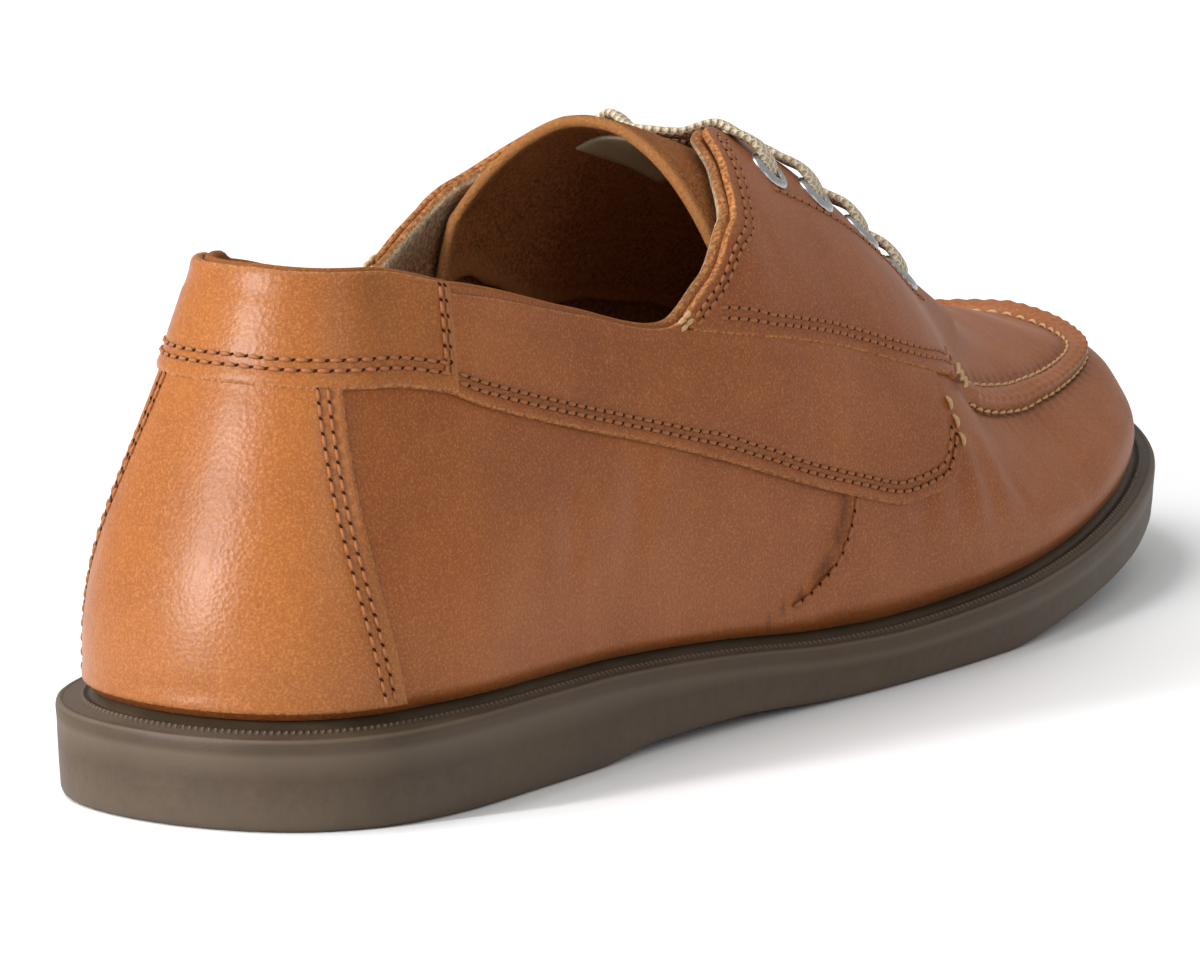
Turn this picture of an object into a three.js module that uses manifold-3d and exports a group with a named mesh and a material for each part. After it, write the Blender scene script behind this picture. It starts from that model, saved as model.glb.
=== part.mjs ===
// A right boat shoe: a hollow leather upper with a moccasin front, on a moulded rubber sole.
// Millimetres. The toe points along +Y, +Z is up and +X is the outer (lateral) side.
// Every piece is worked out on one last: a section of the last is a vertical plane through a point of
// the spine, and a place on the last is (along, level).
//   along: 0 at the back of the heel to 1 at the toe tip, above 0 on the lateral side, below 0 on the medial.
//   level: 0 at the feather edge, where upper and sole meet, 1 at the shoulder of the section, 2 at the spine.
import * as THREE from "three";
import { mergeVertices } from "three/addons/utils/BufferGeometryUtils.js";
import Module from "manifold-3d";

// Driving dimensions
const LENGTH = 296; // the sole, heel to toe
const WIDTH = 103; // the sole across the ball
const BACK_HEIGHT = 89; // the floor to the top of the back
const INSTEP_HEIGHT = 94; // the floor to the instep under the tips of the lace flaps
const HEEL_THICKNESS = 15.4; // the sole's side at the heel
const LEDGE = 4; // how far the sole's rim stands out past the upper
const LEDGE_RISE = 2.6; // how far the sole climbs from its rim to the upper
const WALL = 2.2; // the upper's leather with its lining
const RIDGE_HEIGHT = 2.4; // the puckered moccasin seam above the leather beside it
const OVERLAY = 1.5; // the leather of the pieces that are laid on the upper
const TONGUE_THICKNESS = 2;
const TONGUE_GAP = 1.4; // under the upper's lining
const TONGUE_DROP = 1.8; // how much deeper its top end lies
const INSOLE_THICKNESS = 3;
const INSOLE_CLEARANCE = 0.4; // beyond the gap to the upper's lining
const RIM_ROUND = 1; // the rounded edges of the sole's side
const FOOT_CHAMFER = 1.2; // where the sole's side meets the floor
const EYELET_RADIUS = 4.7;
const EYELET_HOLE = 2.6;
const EYELET_RISE = 0.9;
const LACE_WIDTH = 5;
const LACE_THICKNESS = 1.8;
const GAP = 0.35; // between pieces that touch
const FLAP_GAP = 0.6; // under the lace flaps, which lie on the round of the instep

// Where the sections stop running straight across and fan out round the heel and the toe
const HEEL_CENTRE = 0.176;
const TOE_CENTRE = 0.804;
const SPINE_AT_TOE = -0.05; // of WIDTH, towards the big toe

// The sole's rim from above: shares of LENGTH and of WIDTH.
const OUTLINE = [
  { along: 0.008, lateral: 0.14, medial: 0.146 },
  { along: 0.027, lateral: 0.238, medial: 0.248 },
  { along: 0.06, lateral: 0.314, medial: 0.32 },
  { along: 0.107, lateral: 0.357, medial: 0.354 },
  { along: 0.2, lateral: 0.377, medial: 0.354 },
  { along: 0.3, lateral: 0.391, medial: 0.33 },
  { along: 0.4, lateral: 0.424, medial: 0.322 },
  { along: 0.5, lateral: 0.467, medial: 0.355 },
  { along: 0.6, lateral: 0.495, medial: 0.423 },
  { along: 0.683, lateral: 0.496, medial: 0.49 },
  { along: 0.767, lateral: 0.466, medial: 0.528 },
  { along: 0.84, lateral: 0.41, medial: 0.538 },
  { along: 0.907, lateral: 0.32, medial: 0.5 },
  { along: 0.957, lateral: 0.193, medial: 0.413 },
  { along: 0.987, lateral: 0.06, medial: 0.3 },
];
const HEEL_TIP = { across: 0, along: 0 };
const TOE_TIP = { across: -0.117, along: 1 };

// The sole from the side: shares of LENGTH along, and of HEEL_THICKNESS for the floor side and the rim.
const SOLE_SIDE = [
  { along: 0, bottom: 0, rim: 1 },
  { along: 0.12, bottom: 0, rim: 1.03 },
  { along: 0.24, bottom: 0, rim: 1.0 },
  { along: 0.3, bottom: 0.1, rim: 0.94 },
  { along: 0.37, bottom: 0.12, rim: 0.84 },
  { along: 0.46, bottom: 0.03, rim: 0.67 },
  { along: 0.53, bottom: 0, rim: 0.615 },
  { along: 0.63, bottom: 0, rim: 0.66 },
  { along: 0.7, bottom: 0.13, rim: 0.75 },
  { along: 0.85, bottom: 0.46, rim: 1.11 },
  { along: 1, bottom: 0.8, rim: 1.53 },
];

// The shoulder of each section. reach: share of the way from the spine to the feather edge.
// height: above the floor, a share of BACK_HEIGHT. top: the level at which the upper ends.
// inner and rise: how much further out and higher the medial side stands, over the narrow waist of the sole.
const SHOULDER = [
  { along: 0, reach: 0.53, height: 0.985, top: 1, inner: 1, rise: 1 },
  { along: 0.09, reach: 0.53, height: 0.975, top: 1, inner: 1, rise: 1 },
  { along: 0.176, reach: 0.65, height: 0.93, top: 1, inner: 1.01, rise: 1 },
  { along: 0.28, reach: 0.745, height: 0.832, top: 1, inner: 1.11, rise: 1.01 },
  { along: 0.355, reach: 0.815, height: 0.768, top: 1, inner: 1.18, rise: 1.05 },
  { along: 0.4, reach: 0.775, height: 0.83, top: 1.0, inner: 1.22, rise: 1.05 },
  { along: 0.44, reach: 0.72, height: 0.885, top: 1.06, inner: 1.23, rise: 1.03 },
  { along: 0.473, reach: 0.7, height: 0.855, top: 1.3, inner: 1.19, rise: 1.02 },
  { along: 0.497, reach: 0.7, height: 0.82, top: 1.56, inner: 1.14, rise: 1.01 },
  { along: 0.518, reach: 0.7, height: 0.785, top: 1.64, inner: 1.1, rise: 1 },
  { along: 0.585, reach: 0.7, height: 0.69, top: 1.63, inner: 1.04, rise: 1 },
  { along: 0.64, reach: 0.69, height: 0.59, top: 1.63, inner: 1, rise: 1 },
  { along: 0.69, reach: 0.675, height: 0.475, top: 1.64, inner: 1, rise: 1 },
  { along: 0.73, reach: 0.685, height: 0.425, top: 1.66, inner: 1, rise: 1 },
  { along: 0.765, reach: 0.7, height: 0.4, top: 1.73, inner: 1, rise: 1 },
  { along: 0.79, reach: 0.71, height: 0.395, top: 2, inner: 1, rise: 1 },
  { along: 0.804, reach: 0.715, height: 0.393, top: 2, inner: 1, rise: 1 },
  { along: 0.87, reach: 0.76, height: 0.395, top: 2, inner: 1, rise: 1 },
  { along: 0.93, reach: 0.84, height: 0.407, top: 2, inner: 1, rise: 1 },
  { along: 1, reach: 0.861, height: 0.425, top: 2, inner: 1, rise: 1 },
];

// The spine from the side: a share of LENGTH along and of INSTEP_HEIGHT above the floor.
// Behind the throat there is no leather on it: there it only sets how far the wall leans in.
const SPINE = [
  { along: 0, height: 1.38 },
  { along: 0.176, height: 1.38 },
  { along: 0.28, height: 1.2 },
  { along: 0.36, height: 1.1 },
  { along: 0.446, height: 1.07 },
  { along: 0.52, height: 1.0 },
  { along: 0.585, height: 0.912 },
  { along: 0.655, height: 0.784 },
  { along: 0.73, height: 0.638 },
  { along: 0.787, height: 0.53 },
  { along: 0.845, height: 0.49 },
  { along: 0.9, height: 0.461 },
  { along: 0.96, height: 0.43 },
  { along: 1, height: 0.41 },
];

// The lower edge of the side band and the front edge of the lace flap: shares of LENGTH and BACK_HEIGHT.
const BAND_EDGE = [
  { along: 0.12, height: 0.762 },
  { along: 0.21, height: 0.668 },
  { along: 0.35, height: 0.535 },
  { along: 0.497, height: 0.373 },
  { along: 0.545, height: 0.335 },
  { along: 0.585, height: 0.345 },
  { along: 0.613, height: 0.415 },
];
const FLAP_FRONT = [
  { along: 0.613, height: 0.43 },
  { along: 0.665, height: 0.49 },
  { along: 0.72, height: 0.53 },
  { along: 0.775, height: 0.556 },
];
// The seam between the side band and the lace flap
const FLAP_SEAM = [
  { along: 0.365, height: 0.745 },
  { along: 0.5, height: 0.645 },
  { along: 0.6, height: 0.545 },
  { along: 0.655, height: 0.5 },
];
const CUFF_END = 0.167; // of LENGTH, at the collar's edge
const CUFF_END_LOW = 0.155; // and at the cuff's lower edge
const CUFF_HEIGHT = 0.205; // of BACK_HEIGHT
const COUNTER_TOP = 0.065; // half the patch's span along the section fan, under the cuff
const COUNTER_FOOT = 0.093; // and at the sole
const BAND_END = 0.612; // along
const FLAP_START = 0.372;
const FLAP_CORNER = 0.655; // where the flap's edge leaves the side band and turns up over the apron
const FLAP_END = 0.772;
const SEAM_SPACE = 0.006; // along, between pieces that lie end to end
const SEAM_LEVEL = 0.012; // in level, between pieces that lie one above the other
const COLLAR_LEVEL = 0.985; // where the overlays end under the collar's edge
const EYELETS = [0.533, 0.583, 0.637, 0.688]; // along
const EYELET_LEVEL = 1.38;
const TONGUE_TOP = 0.46; // along
const TONGUE_FOOT = 0.79;
const TONGUE_TOP_WIDTH = 0.32; // half of it, of WIDTH
const TONGUE_FOOT_WIDTH = 0.185;
const TONGUE_CORNER = 0.02; // how far the top's corners lie back of its middle, along

const lerp = THREE.MathUtils.lerp;
const clamp = THREE.MathUtils.clamp;

// A table's column at a place along it: a smooth curve that doesn't overshoot its rows.
function at(table, column, along) {
  const last = table.length - 1;
  if (along <= table[0].along) return table[0][column];
  if (along >= table[last].along) return table[last][column];
  const slope = (i) => (table[i + 1][column] - table[i][column]) / (table[i + 1].along - table[i].along);
  const tangent = (i) => {
    if (i === 0 || i === last) return slope(Math.min(i, last - 1));
    const before = slope(i - 1);
    const after = slope(i);
    return before * after <= 0 ? 0 : (2 * before * after) / (before + after);
  };
  let i = 0;
  while (table[i + 1].along < along) i++;
  const span = table[i + 1].along - table[i].along;
  const t = (along - table[i].along) / span;
  const rise = (1 - t) ** 2 * t * span * tangent(i) - t ** 2 * (1 - t) * span * tangent(i + 1);
  return lerp(table[i][column], table[i + 1][column], t * t * (3 - 2 * t)) + rise;
}

// The rim as one closed smooth curve, from the heel up the lateral side, round the toe and back.
const rimPoints = [
  [HEEL_TIP.across, HEEL_TIP.along],
  ...OUTLINE.map((row) => [row.lateral, row.along]),
  [TOE_TIP.across, TOE_TIP.along],
  ...OUTLINE.map((row) => [-row.medial, row.along]).reverse(),
].map(([across, along]) => new THREE.Vector3(across * WIDTH, along * LENGTH, 0));
const rim = new THREE.CatmullRomCurve3(rimPoints, true, "centripetal").getPoints(480);

// Where the ray from a point of the spine crosses the rim, and how squarely it does.
function rimFrom(spine, direction) {
  for (let i = 0; i < rim.length - 1; i++) {
    const edge = rim[i + 1].clone().sub(rim[i]);
    const start = rim[i].clone().sub(spine);
    const det = direction.y * edge.x - direction.x * edge.y;
    if (Math.abs(det) < 1e-12) continue;
    const distance = (start.y * edge.x - start.x * edge.y) / det;
    const share = (direction.x * start.y - direction.y * start.x) / det;
    if (distance > 0 && share >= 0 && share <= 1) {
      const outward = new THREE.Vector3(edge.y, -edge.x, 0).normalize();
      return { distance, square: Math.abs(outward.dot(direction)) };
    }
  }
  throw new Error("the rim is open");
}

// The section at a place along: its point of the spine, its direction and its sizes.
const sections = new Map();
function sectionAt(along) {
  const key = Math.round(along * 1e7);
  if (sections.has(key)) return sections.get(key);
  let signed = along;
  if (signed > 1) signed -= 2;
  if (signed < -1) signed += 2;
  const side = signed < 0 ? -1 : 1;
  const share = Math.abs(signed);
  const spineShare = clamp(share, HEEL_CENTRE, TOE_CENTRE);
  const turn =
    share < HEEL_CENTRE
      ? (share / HEEL_CENTRE - 1) * 90
      : share > TOE_CENTRE
        ? ((share - TOE_CENTRE) / (1 - TOE_CENTRE)) * 90
        : 0;
  const angle = THREE.MathUtils.degToRad(turn);
  const direction = new THREE.Vector3(side * Math.cos(angle), Math.sin(angle), 0);
  const spine = new THREE.Vector3(spineAcross(spineShare), spineShare * LENGTH, 0);
  const { distance, square } = rimFrom(spine, direction);
  const made = { share, side, direction, spine, rim: distance };
  made.feather = distance - (LEDGE + tuckAt(share)) / square;
  made.shoulder = made.feather * at(SHOULDER, "reach", share);
  made.shoulderHeight = at(SHOULDER, "height", share) * BACK_HEIGHT;
  if (side < 0) {
    made.shoulder *= at(SHOULDER, "inner", share);
    made.shoulderHeight *= at(SHOULDER, "rise", share);
  }
  made.top = at(SHOULDER, "top", share);
  made.square = square;
  sections.set(key, made);
  return made;
}
// Round the heel the upper is drawn in by the counter that lies on it, so that the ledge keeps its width.
function tuckAt(share) {
  return (OVERLAY + GAP) * (1 - THREE.MathUtils.smoothstep(share, COUNTER_FOOT, CUFF_END));
}
function spineAcross(share) {
  const forward = clamp((share - HEEL_CENTRE) / (TOE_CENTRE - HEEL_CENTRE), 0, 1);
  return SPINE_AT_TOE * WIDTH * forward * forward;
}
const spineHeight = (y) => at(SPINE, "height", y / LENGTH) * INSTEP_HEIGHT;
const bottomHeight = (y) => at(SOLE_SIDE, "bottom", y / LENGTH) * HEEL_THICKNESS;
const rimHeight = (y) => at(SOLE_SIDE, "rim", y / LENGTH) * HEEL_THICKNESS;
const featherHeight = (y) => rimHeight(y) + LEDGE_RISE + GAP;

// A place on the last, with nothing on it. Below the shoulder the wall is a cubic curve that leaves the
// feather edge upright; above it the section bows up to the spine as 1 - share^2.2 of the rise.
const BOW = 2.2;
const BULGE = 1.1;
function lastAt(along, level) {
  const s = sectionAt(along);
  const put = (reach, z) =>
    new THREE.Vector3(s.spine.x + s.direction.x * reach, s.spine.y + s.direction.y * reach, z);
  if (level > 1) {
    const share = 2 - level;
    const top = put(s.shoulder * share, 0);
    top.z = lerp(spineHeight(top.y), s.shoulderHeight, Math.abs(share) ** BOW);
    return top;
  }
  const foot = put(s.feather, 0);
  foot.z = featherHeight(foot.y);
  const edge = put(s.shoulder, s.shoulderHeight);
  const lean = (BOW * (spineHeight(edge.y) - edge.z)) / s.shoulder;
  const rise = edge.z - foot.z;
  const back = 0.64 * (s.feather - s.shoulder);
  const bulge = BULGE * THREE.MathUtils.smoothstep(s.share, COUNTER_FOOT, 2 * CUFF_END);
  const first = put(s.feather + bulge, foot.z + 0.375 * rise);
  const second = put(s.shoulder + back, Math.max(edge.z - lean * back, foot.z + 0.45 * rise));
  return new THREE.CubicBezierCurve3(foot, first, second, edge).getPoint(Math.max(level, 0));
}

// The direction out of the last at a place.
function outwardAt(along, level) {
  const s = sectionAt(along);
  if (level > 1.999) {
    const y = s.spine.y;
    const slope = (spineHeight(y + 1) - spineHeight(y - 1)) / 2;
    return new THREE.Vector3(0, -slope, 1).normalize();
  }
  const small = 0.002;
  const round = lastAt(along + small, level).sub(lastAt(along - small, level));
  const up = lastAt(along, level + small).sub(lastAt(along, Math.max(level - small, 0)));
  return round.cross(up).normalize();
}
const offLast = (along, level, off) => lastAt(along, level).addScaledVector(outwardAt(along, level), off);

// The level at which a section passes a height.
function levelAtHeight(along, height) {
  let low = 0;
  let high = 1.95;
  for (let i = 0; i < 24; i++) {
    const middle = (low + high) / 2;
    if (lastAt(along, middle).z < height) low = middle;
    else high = middle;
  }
  return (low + high) / 2;
}

// How far the moccasin seam stands up at a place: a rounded ridge along the shoulder, ahead of the flaps.
function ridgeAt(along, level) {
  const share = Math.abs(sectionAt(along).share);
  const ahead = THREE.MathUtils.smoothstep(share, 0.685, 0.71);
  const width = 0.085;
  return RIDGE_HEIGHT * ahead * Math.max(0, 1 - ((level - 1) / width) ** 2);
}

// A closed mesh from triangles of points: shared corners merged, collapsed triangles dropped.
function closedGeometry(triangles) {
  const loose = new THREE.BufferGeometry().setFromPoints(triangles.flat());
  const merged = mergeVertices(loose, 1e-3);
  const index = merged.index.array;
  const kept = [];
  for (let i = 0; i < index.length; i += 3) {
    const [a, b, c] = [index[i], index[i + 1], index[i + 2]];
    if (a !== b && b !== c && a !== c) kept.push(a, b, c);
  }
  return merged.setIndex(kept);
}
const quad = (a, b, c, d) => [
  [a, b, c],
  [a, c, d],
];

// Triangles between rows of points. Each row runs the same way, and the next lies to its left.
function sheet(rows, wrap = false) {
  const triangles = [];
  for (let j = 0; j < rows.length - 1; j++) {
    const count = rows[j].length;
    for (let i = 0; i < (wrap ? count : count - 1); i++) {
      const n = (i + 1) % count;
      triangles.push(...quad(rows[j][i], rows[j][n], rows[j + 1][n], rows[j + 1][i]));
    }
  }
  return triangles;
}
const flipped = (triangles) => triangles.map(([a, b, c]) => [a, c, b]);

// A thin closed piece between an outer grid of points and an inner one.
function slab(outer, inner) {
  const last = outer.length - 1;
  const end = outer[0].length - 1;
  const edge = (line) => line.map(([j, i]) => [outer[j][i], inner[j][i]]);
  const across = [...Array(end + 1).keys()];
  const upward = [...Array(last + 1).keys()];
  const rims = [
    edge(across.map((i) => [0, i])),
    edge(upward.map((j) => [j, end])),
    edge(across.map((i) => [last, end - i])),
    edge(upward.map((j) => [last - j, 0])),
  ];
  const strips = rims.flatMap((line) =>
    line.slice(1).flatMap(([o, n], k) => quad(line[k][0], line[k][1], n, o)),
  );
  return closedGeometry([...sheet(outer), ...flipped(sheet(inner)), ...strips]);
}

// A piece laid on the upper, from one place along to another, between two levels of its own.
function overlay(from, to, low, high, columns, rows, lift = GAP) {
  const grid = (off) =>
    [...Array(rows + 1).keys()].map((j) =>
      [...Array(columns + 1).keys()].map((i) => {
        const t = i / columns;
        const [start, finish] = [low(t), high(t)];
        const along = lerp(lerp(from, to, t) + start.shift, lerp(from, to, t) + finish.shift, j / rows);
        return offLast(along, lerp(start.level, finish.level, j / rows), off);
      }),
    );
  const [outer, inner] = [grid(lift + OVERLAY), grid(lift)];
  return slab(outer, inner);
}

const wasm = await Module();
wasm.setup();
function solidOf(geometry) {
  const plain = new THREE.BufferGeometry().setAttribute("position", geometry.getAttribute("position"));
  const merged = mergeVertices(geometry.index ? plain.setIndex(geometry.index) : plain, 1e-4);
  return new wasm.Manifold(
    new wasm.Mesh({
      numProp: 3,
      vertProperties: merged.attributes.position.array,
      triVerts: new Uint32Array(merged.index.array),
    }),
  );
}
function geometryOf(solid) {
  const mesh = solid.getMesh();
  return new THREE.BufferGeometry()
    .setAttribute("position", new THREE.BufferAttribute(mesh.vertProperties, 3))
    .setIndex(new THREE.BufferAttribute(mesh.triVerts, 1));
}

// The whole shoe stands with the middle of its outline over the origin.
const middle = new THREE.Box3().setFromPoints(rim).getCenter(new THREE.Vector3());
const group = new THREE.Group();
group.name = "boat_shoe_right";
group.position.set(-middle.x, -middle.y, 0);
function add(name, geometry, look) {
  geometry.computeVertexNormals();
  const mesh = new THREE.Mesh(geometry, new THREE.MeshStandardMaterial(look));
  mesh.name = name;
  group.add(mesh);
}
const LEATHER = { color: 0xb9733c, roughness: 0.55, metalness: 0 };
const SUEDE = { color: 0x96663f, roughness: 0.9, metalness: 0 };
const RUBBER = { color: 0x5d4e41, roughness: 0.7, metalness: 0 };
const NICKEL = { color: 0xb8b4ac, roughness: 0.3, metalness: 1 };
const CORD = { color: 0xd8c9a8, roughness: 0.85, metalness: 0 };

// The places along at which the sections of the sole, insole and upper are taken, once round.
const HEEL_SECTIONS = 8;
const SIDE_SECTIONS = 21;
const TOE_SECTIONS = 10;
const half = [
  ...Array.from({ length: HEEL_SECTIONS }, (_, i) => (HEEL_CENTRE * i) / HEEL_SECTIONS),
  ...Array.from({ length: SIDE_SECTIONS }, (_, i) => lerp(HEEL_CENTRE, TOE_CENTRE, i / SIDE_SECTIONS)),
  ...Array.from({ length: TOE_SECTIONS + 1 }, (_, i) => lerp(TOE_CENTRE, 1, i / TOE_SECTIONS)),
];
const round = [...half, ...half.slice(1, -1).reverse().map((along) => -along)];

// A row of points round the shoe at a share of each section's reach, drawn in by an inset.
function ringAt(reachOf, heightOf) {
  return round.map((along) => {
    const s = sectionAt(along);
    const reach = reachOf(s);
    const x = s.spine.x + s.direction.x * reach;
    const y = s.spine.y + s.direction.y * reach;
    return new THREE.Vector3(x, y, heightOf(clamp(y, 0, LENGTH)));
  });
}

// The sole: flat on the floor at heel and ball, a side with a small foot chamfer, a rim, and a ledge that
// climbs to the upper.
function outsole() {
  const foot = FOOT_CHAMFER + RIM_ROUND;
  const rows = [ringAt(() => 0, bottomHeight), ringAt((s) => 0.5 * s.rim, bottomHeight)];
  rows.push(ringAt((s) => s.rim - foot / s.square, bottomHeight));
  rows.push(ringAt((s) => s.rim - RIM_ROUND / s.square, (y) => bottomHeight(y) + FOOT_CHAMFER));
  rows.push(ringAt((s) => s.rim, (y) => rimHeight(y) - RIM_ROUND));
  rows.push(ringAt((s) => s.rim - (0.6 * RIM_ROUND) / s.square, rimHeight));
  rows.push(ringAt((s) => s.feather + (0.2 * LEDGE) / s.square, (y) => rimHeight(y) + 0.45 * LEDGE_RISE));
  rows.push(ringAt((s) => s.feather, (y) => rimHeight(y) + LEDGE_RISE));
  rows.push(ringAt((s) => 0.5 * s.feather, (y) => rimHeight(y) + LEDGE_RISE));
  rows.push(ringAt(() => 0, (y) => rimHeight(y) + LEDGE_RISE));
  return closedGeometry(sheet(rows, true));
}

// The sock inside, on the sole's top and clear of the upper's wall.
function insole() {
  const clear = (s) => s.feather - (WALL + 2 * GAP + INSOLE_CLEARANCE) / s.square;
  const under = (y) => featherHeight(y);
  const over = (y) => featherHeight(y) + INSOLE_THICKNESS;
  const rows = [
    ringAt(() => 0, under),
    ringAt((s) => 0.5 * clear(s), under),
    ringAt(clear, under),
    ringAt(clear, over),
    ringAt((s) => 0.5 * clear(s), over),
    ringAt(() => 0, over),
  ];
  return closedGeometry(sheet(rows, true));
}

// The upper: an outer skin and an inner one, a wall apart, closed at the feather edge, round the collar and
// round the throat. The moccasin seam is a step of the outer skin alone.
function upper() {
  const shares = [0, 0.1, 0.22, 0.34, 0.45, 0.48, 0.5, 0.52, 0.55, 0.68, 0.84, 1];
  const skin = (off, ridged) =>
    shares.map((share) =>
      round.map((along) => {
        const level = share * sectionAt(along).top;
        const more = ridged ? ridgeAt(along, level) : 0;
        const point = offLast(along, level, off + more);
        if (share === 0) point.z = lastAt(along, 0).z;
        return point;
      }),
    );
  const outer = skin(0, true);
  const inner = skin(-WALL, false);
  const last = shares.length - 1;
  const open = round.map((along) => sectionAt(along).top < 1.999);
  const strip = [];
  round.forEach((_, i) => {
    const n = (i + 1) % round.length;
    if (open[i] || open[n]) strip.push(...quad(outer[last][i], outer[last][n], inner[last][n], inner[last][i]));
    strip.push(...quad(inner[0][i], inner[0][n], outer[0][n], outer[0][i]));
  });
  return closedGeometry([...sheet(outer, true), ...flipped(sheet(inner, true)), ...strip]);
}

// The tongue: a curved sheet under the throat, from beneath the apron up past the tips of the lace flaps.
function tongue() {
  const rows = 12;
  const columns = 11;
  const grid = (depth) =>
    Array.from({ length: rows + 1 }, (_, j) =>
      Array.from({ length: columns + 1 }, (_, i) => {
        const side = i < columns / 2 ? -1 : 1;
        const across = Math.abs((2 * i) / columns - 1);
        const forward = j / rows;
        const along = lerp(TONGUE_TOP, TONGUE_FOOT, forward) - TONGUE_CORNER * across ** 2 * (1 - forward);
        const width = lerp(TONGUE_TOP_WIDTH, TONGUE_FOOT_WIDTH, forward) * WIDTH * across;
        const level = 2 - width / sectionAt(side * along).shoulder;
        return offLast(side * along, level, -depth - TONGUE_DROP * (1 - forward) ** 2);
      }),
    );
  return slab(grid(WALL + TONGUE_GAP), grid(WALL + TONGUE_GAP + TONGUE_THICKNESS));
}

// A place as a level with no shift along.
const flat = (level) => ({ level, shift: 0 });

// The collar band round the back, a little below the collar's edge.
function heelCuff() {
  const drop = (along) => levelAtHeight(along, lastAt(along, 1).z - CUFF_HEIGHT * BACK_HEIGHT);
  const low = (t) => {
    const along = lerp(-CUFF_END_LOW, CUFF_END_LOW, t);
    return { level: drop(along), shift: along - lerp(-CUFF_END, CUFF_END, t) };
  };
  return overlay(-CUFF_END, CUFF_END, low, () => flat(COLLAR_LEVEL), 30, 3);
}

// The patch down the back of the heel, from the cuff to the sole.
function heelCounter() {
  const below = (along) =>
    levelAtHeight(along, lastAt(along, 1).z - CUFF_HEIGHT * BACK_HEIGHT) - SEAM_LEVEL;
  const spread = COUNTER_FOOT - COUNTER_TOP;
  const low = (t) => ({ level: SEAM_LEVEL, shift: lerp(-spread, spread, t) });
  const high = (t) => flat(below(lerp(-COUNTER_TOP, COUNTER_TOP, t)));
  return overlay(-COUNTER_TOP, COUNTER_TOP, low, high, 18, 7);
}

// The strip along each side, under the collar and under the lace flap.
function sideBand(side) {
  const from = CUFF_END + SEAM_SPACE;
  const start = CUFF_END_LOW + SEAM_SPACE;
  const low = (t) => {
    const along = lerp(start, BAND_END, t);
    const level = levelAtHeight(side * along, at(BAND_EDGE, "height", along) * BACK_HEIGHT);
    return { level, shift: side * (along - lerp(from, BAND_END, t)) };
  };
  const high = (t) => {
    const along = lerp(from, BAND_END, t);
    const seam = levelAtHeight(side * along, at(FLAP_SEAM, "height", along) * BACK_HEIGHT) - SEAM_LEVEL;
    return flat(along < FLAP_SEAM[0].along ? COLLAR_LEVEL : Math.min(seam, COLLAR_LEVEL));
  };
  const ends = [side * from, side * BAND_END];
  const made = overlay(ends[0], ends[1], low, high, 26, 3);
  return side > 0 ? made : turnedOut(made);
}

// The lace flap of each side: from the side band's seam up to the throat.
function eyestay(side) {
  const narrowest = 0.03; // in level
  const low = (t) => {
    const along = lerp(FLAP_START, FLAP_END, t);
    const table = along < FLAP_CORNER ? FLAP_SEAM : FLAP_FRONT;
    return flat(levelAtHeight(side * along, at(table, "height", along) * BACK_HEIGHT) + SEAM_LEVEL);
  };
  const high = (t) => {
    const along = lerp(FLAP_START, FLAP_END, t);
    return flat(Math.max(sectionAt(along).top - SEAM_LEVEL, low(t).level + narrowest));
  };
  const made = overlay(side * FLAP_START, side * FLAP_END, low, high, 28, 5, FLAP_GAP);
  return side > 0 ? made : turnedOut(made);
}
function turnedOut(geometry) {
  const index = geometry.index.array;
  for (let i = 0; i < index.length; i += 3) [index[i + 1], index[i + 2]] = [index[i + 2], index[i + 1]];
  return geometry;
}

// An eyelet: a pressed ring on the flap, its axis along the flap's own outward direction.
function eyelet(along) {
  const steps = 3;
  const profile = [new THREE.Vector2(EYELET_HOLE, 0), new THREE.Vector2(EYELET_RADIUS, 0)];
  for (let i = 0; i <= steps; i++) {
    const t = i / steps;
    const bow = EYELET_RISE * (0.35 + 0.65 * Math.sin(Math.PI * t));
    profile.push(new THREE.Vector2(lerp(EYELET_RADIUS, EYELET_HOLE, t), bow));
  }
  profile.push(profile[0].clone());
  const ring = new THREE.LatheGeometry(profile, 12);
  const out = outwardAt(along, EYELET_LEVEL);
  const centre = offLast(along, EYELET_LEVEL, FLAP_GAP + OVERLAY + GAP);
  const turn = new THREE.Quaternion().setFromUnitVectors(new THREE.Vector3(0, 1, 0), out);
  ring.applyQuaternion(turn).translate(centre.x, centre.y, centre.z);
  const corner = (i) => new THREE.Vector3().fromBufferAttribute(ring.attributes.position, ring.index.getX(i));
  const count = ring.index.count / 3;
  return closedGeometry(Array.from({ length: count }, (_, i) => [0, 1, 2].map((k) => corner(3 * i + k))));
}

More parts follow.
